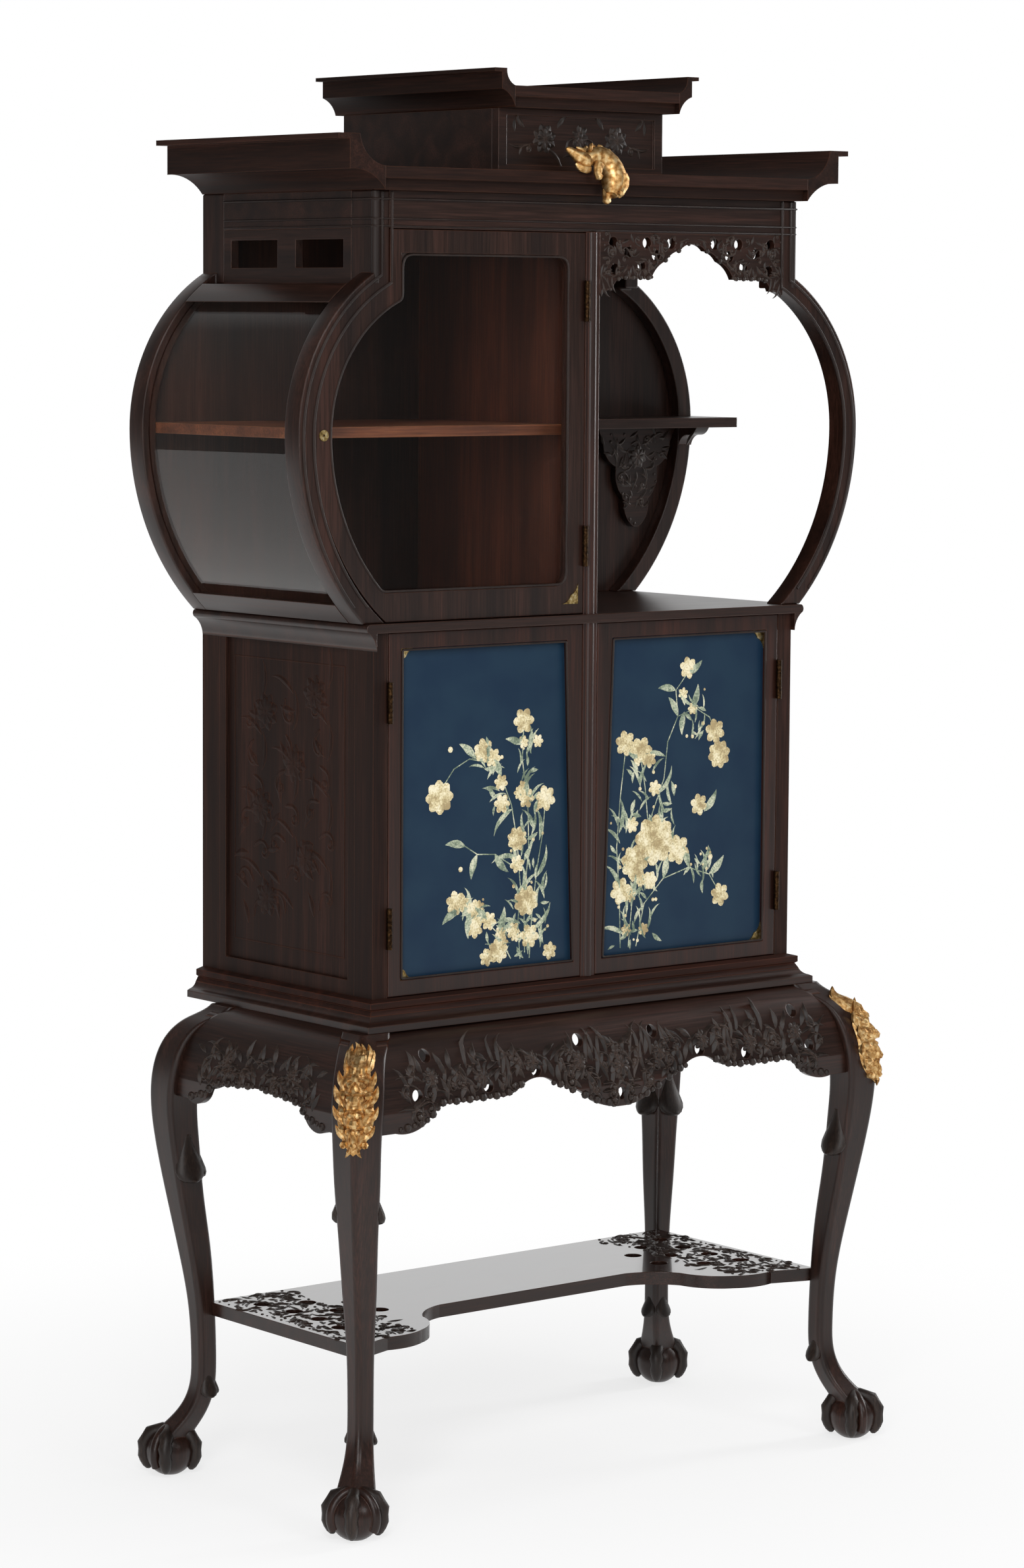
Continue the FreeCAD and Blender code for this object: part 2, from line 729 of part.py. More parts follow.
def ring_frame(name, low, high):
    """Four hidden members, flush with the case."""
    member = size("frame_member")
    return slab(name, "XY", low, high, rectangle((-OUTER, OUTER), (FRONT, BACK)),
                rectangle((member - OUTER, OUTER - member), (FRONT + member, BACK - member)))


def make_base():
    low, high = size("stand_top"), FRAME_TOP
    tip = OUTER + size("frame_outset")
    waist = OUTER + size("waist_outset")
    rise = size("frame_height")
    frame = ring_frame("stand_top_frame", low, high)
    moulding(frame, [(OUTER, low), (tip, low), (tip, low + rise * 0.45),
                     (tip - rise * 0.2, low + rise * 0.55),
                     bow((tip - rise * 0.2, low + rise * 0.55), (waist, high), 1.0, -1),
                     (OUTER, high)])
    low, high = high, CASE_BOTTOM
    rise = size("base_height")
    fillet = OUTER + size("base_outset")
    base = ring_frame("base_moulding", low, high)
    moulding(base, [(OUTER, low), (waist, low), (fillet - rise * 0.15, low + rise * 0.35),
                    (fillet, low + rise * 0.45), (fillet, high - rise * 0.15),
                    (OUTER, high)])
    floor = block("case_bottom", (-INNER, INNER), (FRONT + size("centre_post_width"), BACK_BOARD),
                  (CASE_BOTTOM, CASE_BOTTOM + size("board")))
    return frame, base, floor


def make_case_posts():
    posts = []
    for side, sign in SIDES:
        across = ordered(INNER * sign, OUTER * sign)
        for name, deep in (("front", (FRONT, FRONT + size("post_depth"))),
                           ("back", (BACK - size("post_depth"), BACK))):
            posts.append(block(f"case_post_{name}_{side}", across, deep, (CASE_BOTTOM, TOP_BOARD)))
    return posts


def make_centre_post():
    """The post between the doors, with a half-round bead down its face."""
    half = POST_HALF
    bead = half * 0.55
    back = FRONT + size("centre_post_width")
    outline = [(-half, back), (-half, FRONT), (-bead, FRONT), Bend((bead, FRONT), bead * 1.1, 1),
               (half, FRONT), (half, back)]
    return slab("centre_post", "XY", CASE_BOTTOM, FRIEZE_BOTTOM, outline)


def make_case_top(centre_post):
    """The case top with a rounded edge and a cove under each side."""
    foot = (OUTER, TOP_BOARD - size("cove_drop"))
    edge = lower_x(ZERO, CASE_TOP) + size("top_margin") - size("board") / 2
    low, high = (edge, TOP_BOARD), (edge, CASE_TOP)
    right = [foot, bow(foot, low, 1.1, -1), bow(low, high, 0.53, 1)]
    outline = [(OUTER, TOP_BOARD), *right, (-edge, CASE_TOP),
               bow((-edge, CASE_TOP), (-edge, TOP_BOARD), 0.53, 1),
               bow((-edge, TOP_BOARD), (-OUTER, foot[1]), 1.1, -1), (-OUTER, TOP_BOARD)]
    blank = slab("case_top_blank", "XZ", FRONT - size("top_nosing"), BACK, outline)
    return cut("case_top", blank, centre_post)


def make_case_walls():
    near, far = FRONT + size("post_depth"), BACK - size("post_depth")
    member = size("board") * 1.2
    made = []
    for side, sign in SIDES:
        face = ordered((OUTER - size("board") * 1.5) * sign, OUTER * sign)
        field = ordered((OUTER - size("board") * 1.1) * sign,
                        (OUTER - size("board") * 1.1 + size("panel_field")) * sign)
        opening = rectangle((near + member, far - member),
                            (CASE_BOTTOM + member * 1.4, TOP_BOARD - member))
        made.append(slab(f"side_frame_{side}", "YZ", *face,
                         rectangle((near, far), (CASE_BOTTOM, TOP_BOARD)), opening))
        made.append(slab(f"side_panel_{side}", "YZ", *field, opening))
    made.append(block("case_back", (-INNER, INNER), (BACK_BOARD, BACK), (CASE_BOTTOM, TOP_BOARD)))
    top = CASE_BOTTOM + size("cupboard_shelf_rise")
    made.append(block("cupboard_shelf", (-INNER, INNER),
                      (FRONT + size("post_depth"), BACK_BOARD), (top - size("board"), top)))
    return made


def door_opening(margin):
    """The opening of a right-hand lower door, narrower at the top, grown by a margin."""
    near = POST_HALF + GAP - margin
    far = INNER - GAP - size("door_rail") + margin
    low = CASE_BOTTOM + GAP + size("door_rail") - margin
    high = TOP_BOARD - GAP - size("door_rail") + margin
    return [(near + size("stile_foot"), low), (far, low), (far, high),
            (near + size("stile_top"), high)]


def make_lower_door(side, sign):
    outer = rectangle((POST_HALF + GAP, INNER - GAP), (CASE_BOTTOM + GAP, TOP_BOARD - GAP))
    rebate = size("rebate_width")
    face = FRONT + size("lacquer_recess")
    frame = slab(f"cupboard_door_{side}_frame", "XZ", FRONT, DOOR_BACK, on_side(sign, outer),
                 on_side(sign, door_opening(ZERO)))
    pocket(frame, "XZ", face, DOOR_BACK, on_side(sign, door_opening(rebate)))
    lacquer = slab(f"cupboard_door_{side}_lacquer", "XZ", face, face + size("lacquer_thickness"),
                   on_side(sign, door_opening(rebate)))
    return frame, lacquer


def corner_mount(name, corner, across, along, face):
    """A small plate with a scalloped edge in a corner, across and along being its directions."""
    reach = size("door_rail") * 1.3
    bite = reach * 0.45
    turn = -1 if across * along > 0 else 1
    u, v = corner
    outline = [(u, v), (u + reach * across, v),
               Bend((u + bite * across, v + bite * along), reach * 0.7, turn),
               Bend((u, v + reach * along), reach * 0.7, turn)]
    return slab(name, "XZ", face - size("mount_thickness") / 2, face, outline)


def make_door_mounts(side, sign):
    far = (INNER - GAP - size("door_rail")) * sign
    low = CASE_BOTTOM + GAP + size("door_rail")
    high = TOP_BOARD - GAP - size("door_rail")
    face = FRONT + size("lacquer_recess")
    lower = corner_mount(f"door_{side}_mount_low", (far, low), -sign, 1, face)
    upper = corner_mount(f"door_{side}_mount_high", (far, high), -sign, -1, face)
    return grouped(f"cupboard_door_{side}_mounts", lower, upper)


def make_hinges(name, post_face, sign, bottom, top):
    """Two butt hinges. The post lies on the side of the door that sign points to."""
    axis = (post_face - GAP / 2 * sign, FRONT - size("knuckle") / 2)
    leaf = size("leaf_thickness")
    length = size("knuckle_length")
    slack = size("seat_gap")
    door_edge = post_face - GAP * sign
    fixed_leaf = ordered(post_face, post_face - leaf * sign)
    door_leaf = ordered(door_edge, door_edge + leaf * sign)
    behind = (FRONT, FRONT + size("leaf_width"))
    beside = (FRONT - size("knuckle") / 2, FRONT)
    fixed, moving = [], []
    for number, level in enumerate((bottom + size("hinge_inset"), top - size("hinge_inset"))):
        tag = f"{name}_{number}"
        tall = (level - size("leaf_length") / 2, level + size("leaf_length") / 2)
        ends = ((level - length * 1.5, level - length * 0.5 - slack),
                (level + length * 0.5 + slack, level + length * 1.5))
        parts = [block(f"{tag}_post_leaf", fixed_leaf, behind, tall)]
        parts.append(rod(f"{tag}_pin", axis, size("hinge_pin") / 2, ends[0][0], ends[1][1]))
        for end, reach in enumerate(ends):
            parts.append(rod(f"{tag}_knuckle_{end}", axis, size("knuckle") / 2, *reach))
            parts.append(block(f"{tag}_tab_{end}", fixed_leaf, beside, reach))
        fixed.append(joined(f"{tag}_fixed", *parts))
        middle = (level - length * 0.5, level + length * 0.5)
        hub = joined(f"{tag}_hub", rod(f"{tag}_door_knuckle", axis, size("knuckle") / 2, *middle),
                     block(f"{tag}_door_tab", door_leaf, beside, middle),
                     block(f"{tag}_door_leaf", door_leaf, behind, tall))
        bore = rod(f"{tag}_bore", axis, size("hinge_pin") / 2 + slack, *middle)
        moving.append(cut(f"{tag}_moving", hub, bore))
    return fixed, grouped(f"{name}_hinges", *moving)


def make_curved_posts():
    """Each upright above the case: a C-shaped curve with a straight, deeper top."""
    posts = []
    inset = size("post_width")
    outline = ([(INNER, ROOF_BOTTOM), (INNER, upper_level(inset, INNER))]
               + curve_down(inset, CASE_TOP)
               + [(lower_x(ZERO, CASE_TOP), CASE_TOP)]
               + curve_up(ZERO, (OUTER, upper_level(ZERO, OUTER)))
               + [(OUTER, ROOF_BOTTOM)])
    straight = rectangle((INNER, OUTER), (CURVE_END, ROOF_BOTTOM))
    for side, sign in SIDES:
        for name, front in (("front", True), ("back", False)):
            body = new_body(f"curved_post_{name}_{side}")
            for depth, shape in ((size("curve_depth"), outline),
                                 (size("upper_post_depth"), straight)):
                deep = (FRONT, FRONT + depth) if front else (BACK - depth, BACK)
                pad(body, "XZ", *deep, on_side(sign, shape))
            posts.append(body)
    return posts


def curved_strip(outer_inset, inner_inset, low, high):
    """A strip of the curved side between two levels, on the right."""
    return ([(upper_x(inner_inset, high), high)] + curve_down(inner_inset, low)
            + [(lower_x(outer_inset, low), low)]
            + curve_up(outer_inset, (upper_x(outer_inset, high), high)))


def make_left_side():
    """Bent glass between two curved rails, with a small window rail above."""
    near, far = FRONT + size("curve_depth"), BACK - size("curve_depth")
    inset = size("post_width")
    rail = size("post_width")
    top = CURVE_END
    middle = (inset - size("glass")) / 2
    upper = [(upper_x(inset, top), top), (upper_x(inset, top - rail), top - rail),
             (upper_x(ZERO, top - rail), top - rail),
             Bend((upper_x(ZERO, top), top), size("upper_radius"), 1)]
    lower = [(lower_x(inset, CASE_TOP + rail), CASE_TOP + rail), (lower_x(inset, CASE_TOP), CASE_TOP),
             (lower_x(ZERO, CASE_TOP), CASE_TOP),
             Bend((lower_x(ZERO, CASE_TOP + rail), CASE_TOP + rail), size("lower_radius"), 1)]
    rails = [slab("side_rail_upper", "XZ", near, far, flipped(upper)),
             slab("side_rail_lower", "XZ", near, far, flipped(lower))]
    pane = slab("side_glass", "XZ", near, far,
                flipped(curved_strip(middle, middle + size("glass"), CASE_TOP + rail, top - rail)))
    near, far = FRONT + size("upper_post_depth"), BACK - size("upper_post_depth")
    centre = (near + far) / 2
    window_low = top + size("window_sill")
    window_high = FRIEZE_BOTTOM - size("window_head")
    post = size("window_post") / 2
    windows = [rectangle((centre - post - size("window_length"), centre - post),
                         (window_low, window_high)),
               rectangle((centre + post, centre + post + size("window_length")),
                         (window_low, window_high))]
    window_rail = slab("side_window_rail", "YZ", -OUTER, size("board") - OUTER,
                       rectangle((near, far), (top, FRIEZE_BOTTOM)), *windows)
    return grouped("side_glass_rails", *rails), pane, window_rail


def display_opening(margin):
    """The opening of the glazed door, drawn on the right and grown by a margin."""
    near = POST_HALF + GAP + size("display_stile") - margin
    low = CASE_TOP + GAP + size("display_bottom_rail") - margin
    high = FRIEZE_BOTTOM - GAP - size("display_top_rail") + margin
    inset = size("post_width") + GAP + size("display_stile") - margin
    corner = size("opening_corner") + margin
    straight = INNER - GAP - size("narrow_stile") + margin
    return ([Bend((near + corner, low), corner, 1), (lower_x(inset, low), low)]
            + curve_up(inset, (straight, upper_level(inset, straight)))
            + [(straight, high), (near + corner, high), Bend((near, high - corner), corner, 1),
               (near, low + corner)])


def make_display_door():
    low, high = CASE_TOP + GAP, FRIEZE_BOTTOM - GAP
    inset = size("post_width") + GAP
    near, far = POST_HALF + GAP, INNER - GAP
    outer = ([(near, low), (lower_x(inset, low), low)]
             + curve_up(inset, (far, upper_level(inset, far)))
             + [(far, high), (near, high)])
    face = FRONT + size("glass_recess")
    rebate = flipped(display_opening(size("rebate_width")))
    frame = slab("display_door_frame", "XZ", FRONT, DOOR_BACK, flipped(outer),
                 flipped(display_opening(ZERO)))
    pocket(frame, "XZ", face, DOOR_BACK, rebate)
    pane = slab("display_door_glass", "XZ", face, face + size("glass"), rebate)
    return frame, pane


def make_display_mounts():
    """A corner plate by the hinge and the keyhole plate on the curved stile."""
    stile = POST_HALF + GAP + size("display_stile") * 0.35
    low = CASE_TOP + GAP + size("display_bottom_rail") * 0.35
    corner = corner_mount("display_corner", (-stile, low), -1, 1, FRONT)
    radius = size("knuckle") * 0.9
    middle = (-(REACH - size("post_width") - GAP - size("display_stile") / 2), LEVEL)
    plate = slab("display_keyhole_plate", "XZ", FRONT - size("mount_thickness") / 2, FRONT,
                 Hole(middle, radius), Hole(middle, size("mount_thickness") / 2))
    return grouped("display_door_mounts", corner, plate)


def make_upper_inside():
    """Back board, partition and shelf behind the doors."""
    inset = size("post_width")
    right = ([(INNER, ROOF_BOTTOM), (INNER, upper_level(inset, INNER))]
             + curve_down(inset, CASE_TOP))
    left = [Bend((inset - REACH, LEVEL), size("lower_radius") - inset, -1),
            Bend((-INNER, upper_level(inset, INNER)), size("upper_radius") - inset, -1)]
    back = slab("upper_back", "XZ", BACK_BOARD, BACK,
                right + [(-lower_x(inset, CASE_TOP), CASE_TOP)] + left + [(-INNER, ROOF_BOTTOM)])
    behind = FRONT + size("centre_post_width")
    half = size("board") / 2
    partition = block("display_partition", (-half, half), (behind, BACK_BOARD),
                      (CASE_TOP, ROOF_BOTTOM))
    top = SHELF_TOP
    edge = upper_x(inset, top) - size("seat_gap")
    shelf = block("display_shelf", (-edge, -half), (behind + size("post_width"), BACK_BOARD),
                  (top - size("shelf_thickness"), top))
    return back, partition, shelf


def make_niche():
    top = SHELF_TOP
    low = top - size("shelf_thickness")
    half = size("board") / 2
    front = BACK_BOARD - size("niche_shelf_depth")
    post_front = BACK - size("curve_depth")
    inner = upper_x(size("post_width"), top) - size("seat_gap")
    outline = [(half, front), (REACH, front), (REACH, post_front), (inner, post_front),
               (inner, BACK_BOARD), (half, BACK_BOARD)]
    shelf = slab("niche_shelf", "XY", low, top, outline)
    reach = size("post_depth")
    drop = reach * 0.7
    bracket = slab("niche_bracket", "YZ", inner, REACH - size("seat_gap"),
                   [(post_front, low), (post_front - reach, low),
                    Bend((post_front - reach * 0.45, low - drop * 0.45), reach * 0.5, 1),
                    Bend((post_front, low - drop), reach * 0.5, -1)])
    return shelf, bracket


# Lower edge of the pierced apron over the niche, as for the other aprons, and its holes
NICHE_EDGE_SHARES = (
    (0, 0.17, 0, 0), (0.14, 0.28, 1.07, -1), (0.29, 0.45, 1.16, -1), (0.45, 0.75, 1.2, -1),
    (0.8, 0.75, 0, 0), (0.87, 0.94, 1.7, -1), (0.98, 1.0, 1.76, -1),
)
NICHE_HOLE_SHARES = ((0.24, 0.16), (0.4, 0.36), (0.56, 0.54), (0.5, 0.16), (0.7, 0.32),
                     (0.84, 0.6), (0.86, 0.16))
# Right half of the pendant under the niche shelf, from its tip upwards
PENDANT_SHARES = ((0.06, 1.0, 0, 0), (0.3, 0.72, 0.83, 1), (0.52, 0.4, 0.9, 1),
                  (0.86, 0.16, 0.86, 1))
# The mount that climbs over the roof edge: sideways, forwards and upwards, and its radius
CLIMBER_SHARES = (
    (0.4, 1.0, 0.0, 0.03), (0.38, 1.06, 0.1, 0.06), (0.34, 1.08, 0.24, 0.085),
    (0.24, 1.04, 0.38, 0.11), (0.12, 0.95, 0.52, 0.125), (-0.04, 0.78, 0.64, 0.13),
    (-0.2, 0.6, 0.76, 0.12), (-0.34, 0.48, 0.88, 0.1), (-0.42, 0.42, 1.0, 0.05),
)


def make_niche_carving(bracket):
    """The pierced apron over the niche, and the pendant that shares a node with the bracket."""
    low, high = POST_HALF, INNER
    half = (high - low) / 2
    centre = (high + low) / 2
    fall = size("niche_apron_fall")

    lower = shifted(scalloped(NICHE_EDGE_SHARES, half, FRIEZE_BOTTOM, fall), centre)
    foot = FRIEZE_BOTTOM - fall
    outline = [(low, FRIEZE_BOTTOM), (low, foot)] + lower + [(high, foot), (high, FRIEZE_BOTTOM)]
    holes = [Hole((centre + half * (sign * across), FRIEZE_BOTTOM - fall * down),
                  size("niche_piercing"))
             for across, down in NICHE_HOLE_SHARES for sign in (-1, 1)]
    apron = slab("niche_apron", "XZ", FRONT, FRONT + size("apron_thickness"), outline, *holes)

    top = SHELF_TOP - size("shelf_thickness")
    middle = REACH - size("post_width") - size("pendant_place") - size("board")
    half, fall = size("pendant_half"), size("pendant_fall")
    outline = ([(middle + half, top), (middle - half, top)]
               + shifted(scalloped(PENDANT_SHARES, half, top, fall), middle))
    pendant = slab("niche_pendant", "XZ", BACK_BOARD - size("board"), BACK_BOARD, outline)
    return apron, grouped("niche_brackets", bracket, pendant)


def make_frieze():
    near, far = FRONT + size("upper_post_depth"), BACK - size("upper_post_depth")
    front = block("frieze_front", (-INNER, INNER), (FRONT, FRONT + size("centre_post_width")),
                  (FRIEZE_BOTTOM, ROOF_BOTTOM))
    sides = [block(f"frieze_{side}", ordered((OUTER - size("board")) * sign, OUTER * sign),
                   (near, far), (FRIEZE_BOTTOM, ROOF_BOTTOM)) for side, sign in SIDES]
    return grouped("frieze", front, *sides)


def roof_board(name, half, front, low, high):
    """A roof board whose front edge is stepped back in its lower half."""
    step = size("roof_step")
    middle = (low + high) / 2
    outline = [(step - front, low), (BACK, low), (BACK, high), (-front, high), (-front, middle),
               (step - front, middle)]
    return slab(name, "YZ", -half, half, outline)


def roof_ends(name, half, front, low, high, reach, top, wall, lip, lip_height, fascia_height):
    """The turned up ends of a roof, a cove below and a lip on top."""
    face = reach - lip
    lip_low = top - lip_height
    fascia_low = lip_low - fascia_height
    outline = [(half, low), bow((half, low), (face, fascia_low), 1.0, -1),
               (face, lip_low), (reach, lip_low), (reach, top), (reach - wall, top),
               bow((reach - wall, top), (half, high), 0.8, -1)]
    return grouped(name, *[slab(f"{name}_{side}", "XZ", -front, BACK, on_side(sign, outline))
                           for side, sign in SIDES])


ROOF_FRONT = size("front_face") + size("roof_eaves")
BOX_FRONT = FRONT + size("top_box_setback")


def make_roofs():
    board = roof_board("roof_board", OUTER, ROOF_FRONT, ROOF_BOTTOM, ROOF_TOP)
    ends = roof_ends("roof_ends", OUTER, ROOF_FRONT, ROOF_BOTTOM, ROOF_TOP,
                     OUTER + size("roof_overhang"), ROOF_TOP + size("flange_rise"),
                     size("flange_wall"), size("lip"), size("lip_height"),
                     size("fascia_height"))
    half, front = size("top_box_half"), size("top_roof_eaves") - BOX_FRONT
    top_board = roof_board("top_roof_board", half, front, BOX_TOP, TOP_ROOF_TOP)
    top_ends = roof_ends("top_roof_ends", half, front, BOX_TOP, TOP_ROOF_TOP,
                         half + size("top_roof_overhang"),
                         TOP_ROOF_TOP + size("top_flange_rise"), size("top_flange_wall"),
                         size("top_lip"), size("top_lip_height"), size("top_fascia_height"))
    return board, ends, top_board, top_ends


def make_top_box():
    half, wall = size("top_box_half"), size("top_box_wall")
    front, back = BOX_FRONT, BACK - size("top_box_inset")
    inside = half - wall
    face = slab("top_box_front_board", "XZ", front, front + wall,
                rectangle((-half, half), (ROOF_TOP, BOX_TOP)))
    margin = wall * 0.6
    pocket(face, "XZ", front, front + size("carving_depth"),
           rectangle((wall - half, half - wall), (ROOF_TOP + margin, BOX_TOP - margin)))
    outline = [(-half, front + wall), (wall - half, front + wall), (wall - half, back - wall),
               (inside, back - wall), (inside, front + wall), (half, front + wall), (half, back),
               (-half, back)]
    return face, slab("top_box_carcass", "XY", ROOF_TOP, BOX_TOP, outline)


def make_knee_mounts(front_left):
    """Shields wrapped round the outer edge of the front knees."""
    skin = leg_loft("knee_mount_skin", size("mount_thickness"), LEG_SHARES[:7])
    middle = LEG_REACH + size("knee_splay")
    width = size("knee_half") * 0.95
    top = size("stand_top")
    height = size("apron_fall")
    outline = [Bend((width * 0.96, top - height * 0.7), width * 2.4, 1),
               (width * 0.9, top - height * 0.1),
               Bend((-(width * 0.9), top - height * 0.1), width * 1.4, 1),
               (-(width * 0.96), top - height * 0.7),
               Bend((ZERO, top - height * 1.14), width * 2.4, 1)]
    shield = slab("knee_shield", "XZ", -size("knee_half") * 3, ZERO, outline)
    shield.Placement = Placement(Vector(), Rotation(Vector(0, 0, 1), -45))
    shield.setExpression("Placement.Base.x", (-middle).text)
    shield.setExpression("Placement.Base.y", (LEG_OFFSET - middle).text)
    left = cut("knee_mount_left", common("knee_mount_blank", skin, shield), front_left)
    return left, mirrored("knee_mount_right", left, Vector(1, 0, 0))


def make_climber(roof, box_front):
    """The gilt beast that climbs over the roof edge to the top box."""
    body = new_body("climber")
    low = FRIEZE_BOTTOM + size("roof_thickness")
    height = ROOF_TOP + size("top_box_height") * 0.75 - low
    sections = []
    for across, forward, up, radius in CLIMBER_SHARES:
        centre = (height * across, ROOF_FRONT * -forward)
        sections.append(sketch_on(body, "XY", low + height * up, [Hole(centre, height * radius)]))
    loft = body.newObject("PartDesign::AdditiveLoft", "climber_loft")
    loft.Profile = sections[0]
    loft.Sections = sections[1:]
    return cut("roof_beast_mount", body, roof, box_front)


legs = make_legs()
aprons = make_aprons(legs)
centre_post = make_centre_post()
niche_shelf, niche_bracket = make_niche()
roofs = make_roofs()
top_box = make_top_box()
nodes = [*legs, *aprons, make_undershelf(legs), *make_knee_mounts(legs[0]), *make_base(),
         *make_case_posts(), centre_post, make_case_top(centre_post), *make_case_walls()]
post_leaves = []
for side, sign in SIDES:
    fixed, moving = make_hinges(f"cupboard_door_{side}", INNER * sign, sign, CASE_BOTTOM + GAP,
                                TOP_BOARD - GAP)
    post_leaves += fixed
    nodes += [*make_lower_door(side, sign), make_door_mounts(side, sign), moving]
nodes += [*make_curved_posts(), *make_left_side(), *make_display_door(), make_display_mounts()]
fixed, moving = make_hinges("display_door", -POST_HALF, 1, CASE_TOP + GAP, FRIEZE_BOTTOM - GAP)
nodes += [moving, grouped("post_hinges", *post_leaves, *fixed)]
nodes += [*make_upper_inside(), niche_shelf, *make_niche_carving(niche_bracket), make_frieze(),
          *roofs, *top_box, make_climber(roofs[0], top_box[0])]
doc.recompute()

os.makedirs("parts", exist_ok=True)
troubled = [item.Name for item in doc.Objects if {"Invalid", "Error"} & set(item.State)]
if troubled:
    raise RuntimeError(f"not solved: {troubled}")
for node in nodes:
    shape = node.Shape
    if shape.isNull() or not shape.isValid() or not shape.Solids:
        raise RuntimeError(f"bad shape: {node.Name}")
    shape.exportStep(os.path.join("parts", f"{node.Name}.step"))
print(f"{len(nodes)} nodes written")
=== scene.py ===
# %% [markdown]
# # An East Asian display cabinet on a stand
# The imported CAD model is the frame. Every wooden, glass and metal piece already stands in its
# place, so this script gives each one its finish and adds what a carver, a lacquerer and a
# founder would add: relief, inlay and cast mounts. The CAD pieces themselves never move.

# %% Load the frame
import math
import random

import bpy
from mathutils import Matrix, Vector
from mathutils.bvhtree import BVHTree


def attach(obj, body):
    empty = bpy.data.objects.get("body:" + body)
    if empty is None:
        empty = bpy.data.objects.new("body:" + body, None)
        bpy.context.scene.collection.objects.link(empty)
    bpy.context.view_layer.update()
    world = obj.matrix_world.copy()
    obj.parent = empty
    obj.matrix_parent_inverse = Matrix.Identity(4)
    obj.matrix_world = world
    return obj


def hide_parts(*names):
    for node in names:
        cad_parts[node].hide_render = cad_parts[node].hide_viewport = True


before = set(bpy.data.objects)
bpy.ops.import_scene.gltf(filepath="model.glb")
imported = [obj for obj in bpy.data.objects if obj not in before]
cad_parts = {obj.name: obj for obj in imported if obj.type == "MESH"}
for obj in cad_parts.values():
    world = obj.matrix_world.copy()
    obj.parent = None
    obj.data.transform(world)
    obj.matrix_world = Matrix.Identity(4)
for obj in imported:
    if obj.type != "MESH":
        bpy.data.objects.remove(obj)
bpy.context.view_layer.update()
MM = 0.001
CABINET = "cabinet"
SIDES = (("left", -1), ("right", 1))
print("loaded", len(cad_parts), "nodes")

# %% [markdown]
# ## Finishes
# A finish is a colour written as it looks on screen, a typical gloss for the material, and a
# pattern whose scale comes from a real size. The helpers turn a hex colour into the linear
# values that the renderer counts in, add a node with its settings, write the three nodes that
# come up most in short, and open and close a material.

# %% Colour and node helpers
def colour(hex_text):
    """An sRGB hex colour as linear red, green, blue and alpha."""
    parts = [int(hex_text[i:i + 2], 16) / 255 for i in (1, 3, 5)]
    return (*[c / 12.92 if c <= 0.04045 else ((c + 0.055) / 1.055) ** 2.4 for c in parts], 1)


def add(tree, kind, sockets=None, **settings):
    """Adds a node, sets its properties, and sets or links its sockets.

    A node that is given for a socket is linked from its first output in use."""
    node = tree.nodes.new("ShaderNode" + kind)
    for name, value in settings.items():
        setattr(node, name, value)
    for name, value in (sockets or {}).items():
        if isinstance(value, bpy.types.Node):
            value = next(output for output in value.outputs if output.enabled)
        if isinstance(value, bpy.types.NodeSocket):
            tree.links.new(value, node.inputs[name])
        else:
            node.inputs[name].default_value = value
    return node


def noise(tree, place, size, **sockets):
    """A noise whose features are about this many millimetres wide."""
    return add(tree, "TexNoise", {"Vector": place, "Scale": 1 / (size * MM), **sockets})


def bump(tree, height, strength, rise, **sockets):
    """Fine relief that rises by so many millimetres."""
    return add(tree, "Bump", {"Height": height, "Strength": strength, "Distance": rise * MM,
                              **sockets})


def ramp(tree, value, places, shades):
    """A colour ramp with a hex shade at each place."""
    node = add(tree, "ValToRGB", {"Fac": value})
    elements = node.color_ramp.elements
    while len(elements) < len(places):
        elements.new(0.5)
    for number, (place, shade) in enumerate(zip(places, shades)):
        elements[number].position, elements[number].color = place, colour(shade)
    return node


def new_finish(name):
    """An empty material, its node tree, and the place on the object that patterns follow."""
    material = bpy.data.materials.new(name)
    material.use_nodes = True
    tree = material.node_tree
    tree.nodes.clear()
    return material, tree, add(tree, "TexCoord").outputs["Object"]


def finished(material, tree, sockets):
    """Closes a material with one principled surface."""
    add(tree, "OutputMaterial", {"Surface": add(tree, "BsdfPrincipled", sockets)})
    return material


# %% [markdown]
# ### Ebonised wood
# The real timber is a dense hardwood stained nearly black and polished with shellac. The stain
# lets some red-brown grain through, and the polish gives a soft sheen that breaks up along the
# grain. Vessels are about 0.3 mm wide and run for centimetres, so the noise is stretched along
# the grain. They are drawn about 2 mm wide here, because finer ones vanish in the render.

